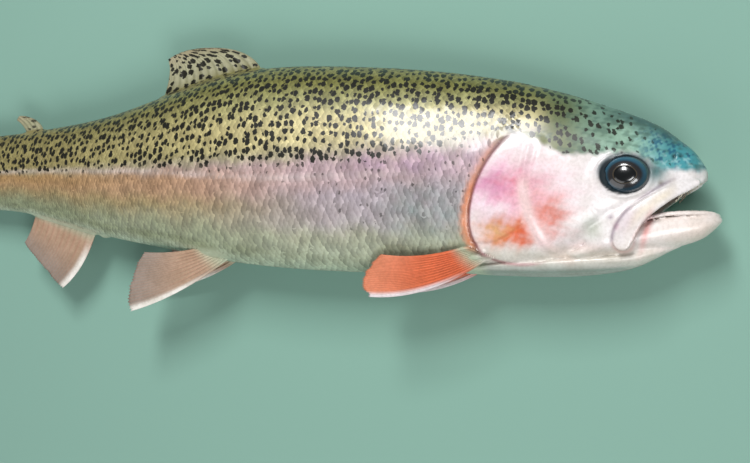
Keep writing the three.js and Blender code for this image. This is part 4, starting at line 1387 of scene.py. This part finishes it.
# the left ones of a pair lie closer to the body, pressed between it and the ground
pectoral_root = [(75.5, -31.6, 12), (79.5, -29.6, 14.6), (83.5, -27, 16.4)]
for side, name, lay in ((1, "pectoral_fin_right", 0), (-1, "pectoral_fin_left", 2.6)):
    fin_piece(
        name, [(s, y, z + 0.2 * lay * (k == 0)) for k, (s, y, z) in enumerate(pectoral_root)],
        [(119.5, -45.4, 14.5 + lay), (121.5, -41, 15.6 + lay), (119.4, -35, 16.8 + lay),
         (113.5, -29.6, 18 + 0.7 * lay)],
        bow=(0, -4.2, 0.3 * lay), thick_root=2.2, thick_edge=0.6, rays=13, paint_of=breast_fin_paint,
        side=side, seed=11 + side)
pelvic_root = [(181, -31.8, 5.2), (186, -29.8, 6.8), (191.5, -27.4, 8.2)]
for side, name, lay, fold in ((1, "pelvic_fin_right", 0, 0), (-1, "pelvic_fin_left", 6.5, 8)):
    fin_piece(
        name, pelvic_root,
        [(225.6, -54 + fold, 8 + lay), (226.2, -48.4 + fold, 9 + lay), (223.8, -39 + 0.7 * fold, 10 + lay),
         (217.6, -29.6 + 0.3 * fold, 10.6 + 0.6 * lay)],
        bow=(0, -2.6, 0.3 * lay), thick_root=2.2, thick_edge=0.6, rays=10, paint_of=belly_fin_paint,
        side=side, seed=21 + side)


# The studio: a plain pale floor with soft light, a window-like lamp behind the back for the long
# highlight on the upper flank, and a broad weaker one over the belly.
floor_mesh = bpy.data.meshes.new("floor")
floor_mesh.from_pydata([(-3, -3, 0), (3, -3, 0), (3, 3, 0), (-3, 3, 0)], [], [(0, 1, 2, 3)])
floor = bpy.data.objects.new("floor", floor_mesh)
bpy.context.scene.collection.objects.link(floor)
floor_nodes = Nodes("pale_floor")
floor_nodes.wire((0.22, 0.39, 0.32, 1), floor_nodes.shader.inputs["Base Color"])
floor_nodes.wire(0.85, floor_nodes.shader.inputs["Roughness"])
floor_mesh.materials.append(floor_nodes.material)


def lamp(name, place, aim, size, power):
    light = bpy.data.lights.new(name, "AREA")
    light.shape = "RECTANGLE"
    light.size, light.size_y = size
    light.energy = power
    holder = bpy.data.objects.new(name, light)
    holder.location = place
    to = [a - p for a, p in zip(aim, place)]
    flat = math.hypot(to[0], to[1])
    holder.rotation_euler = (math.atan2(flat, -to[2]), 0, math.atan2(to[1], to[0]) - math.pi / 2)
    bpy.context.scene.collection.objects.link(holder)


lamp("window", (0.06, 0.42, 0.62), (0.09, 0.01, 0.03), (0.15, 0.36), 4.4)
lamp("face_side", (0.5, -0.45, 0.8), (0.1, 0, 0.02), (0.4, 0.4), 4.3)
lamp("belly_side", (-0.4, -0.7, 0.6), (0, 0, 0.02), (0.9, 0.7), 2.7)
world = bpy.data.worlds.new("studio")
bpy.context.scene.world = world
world.use_nodes = True
world.node_tree.nodes["Background"].inputs["Color"].default_value = (0.85, 0.92, 0.95, 1)
world.node_tree.nodes["Background"].inputs["Strength"].default_value = 0.15
bpy.context.scene.view_settings.view_transform = "Standard"
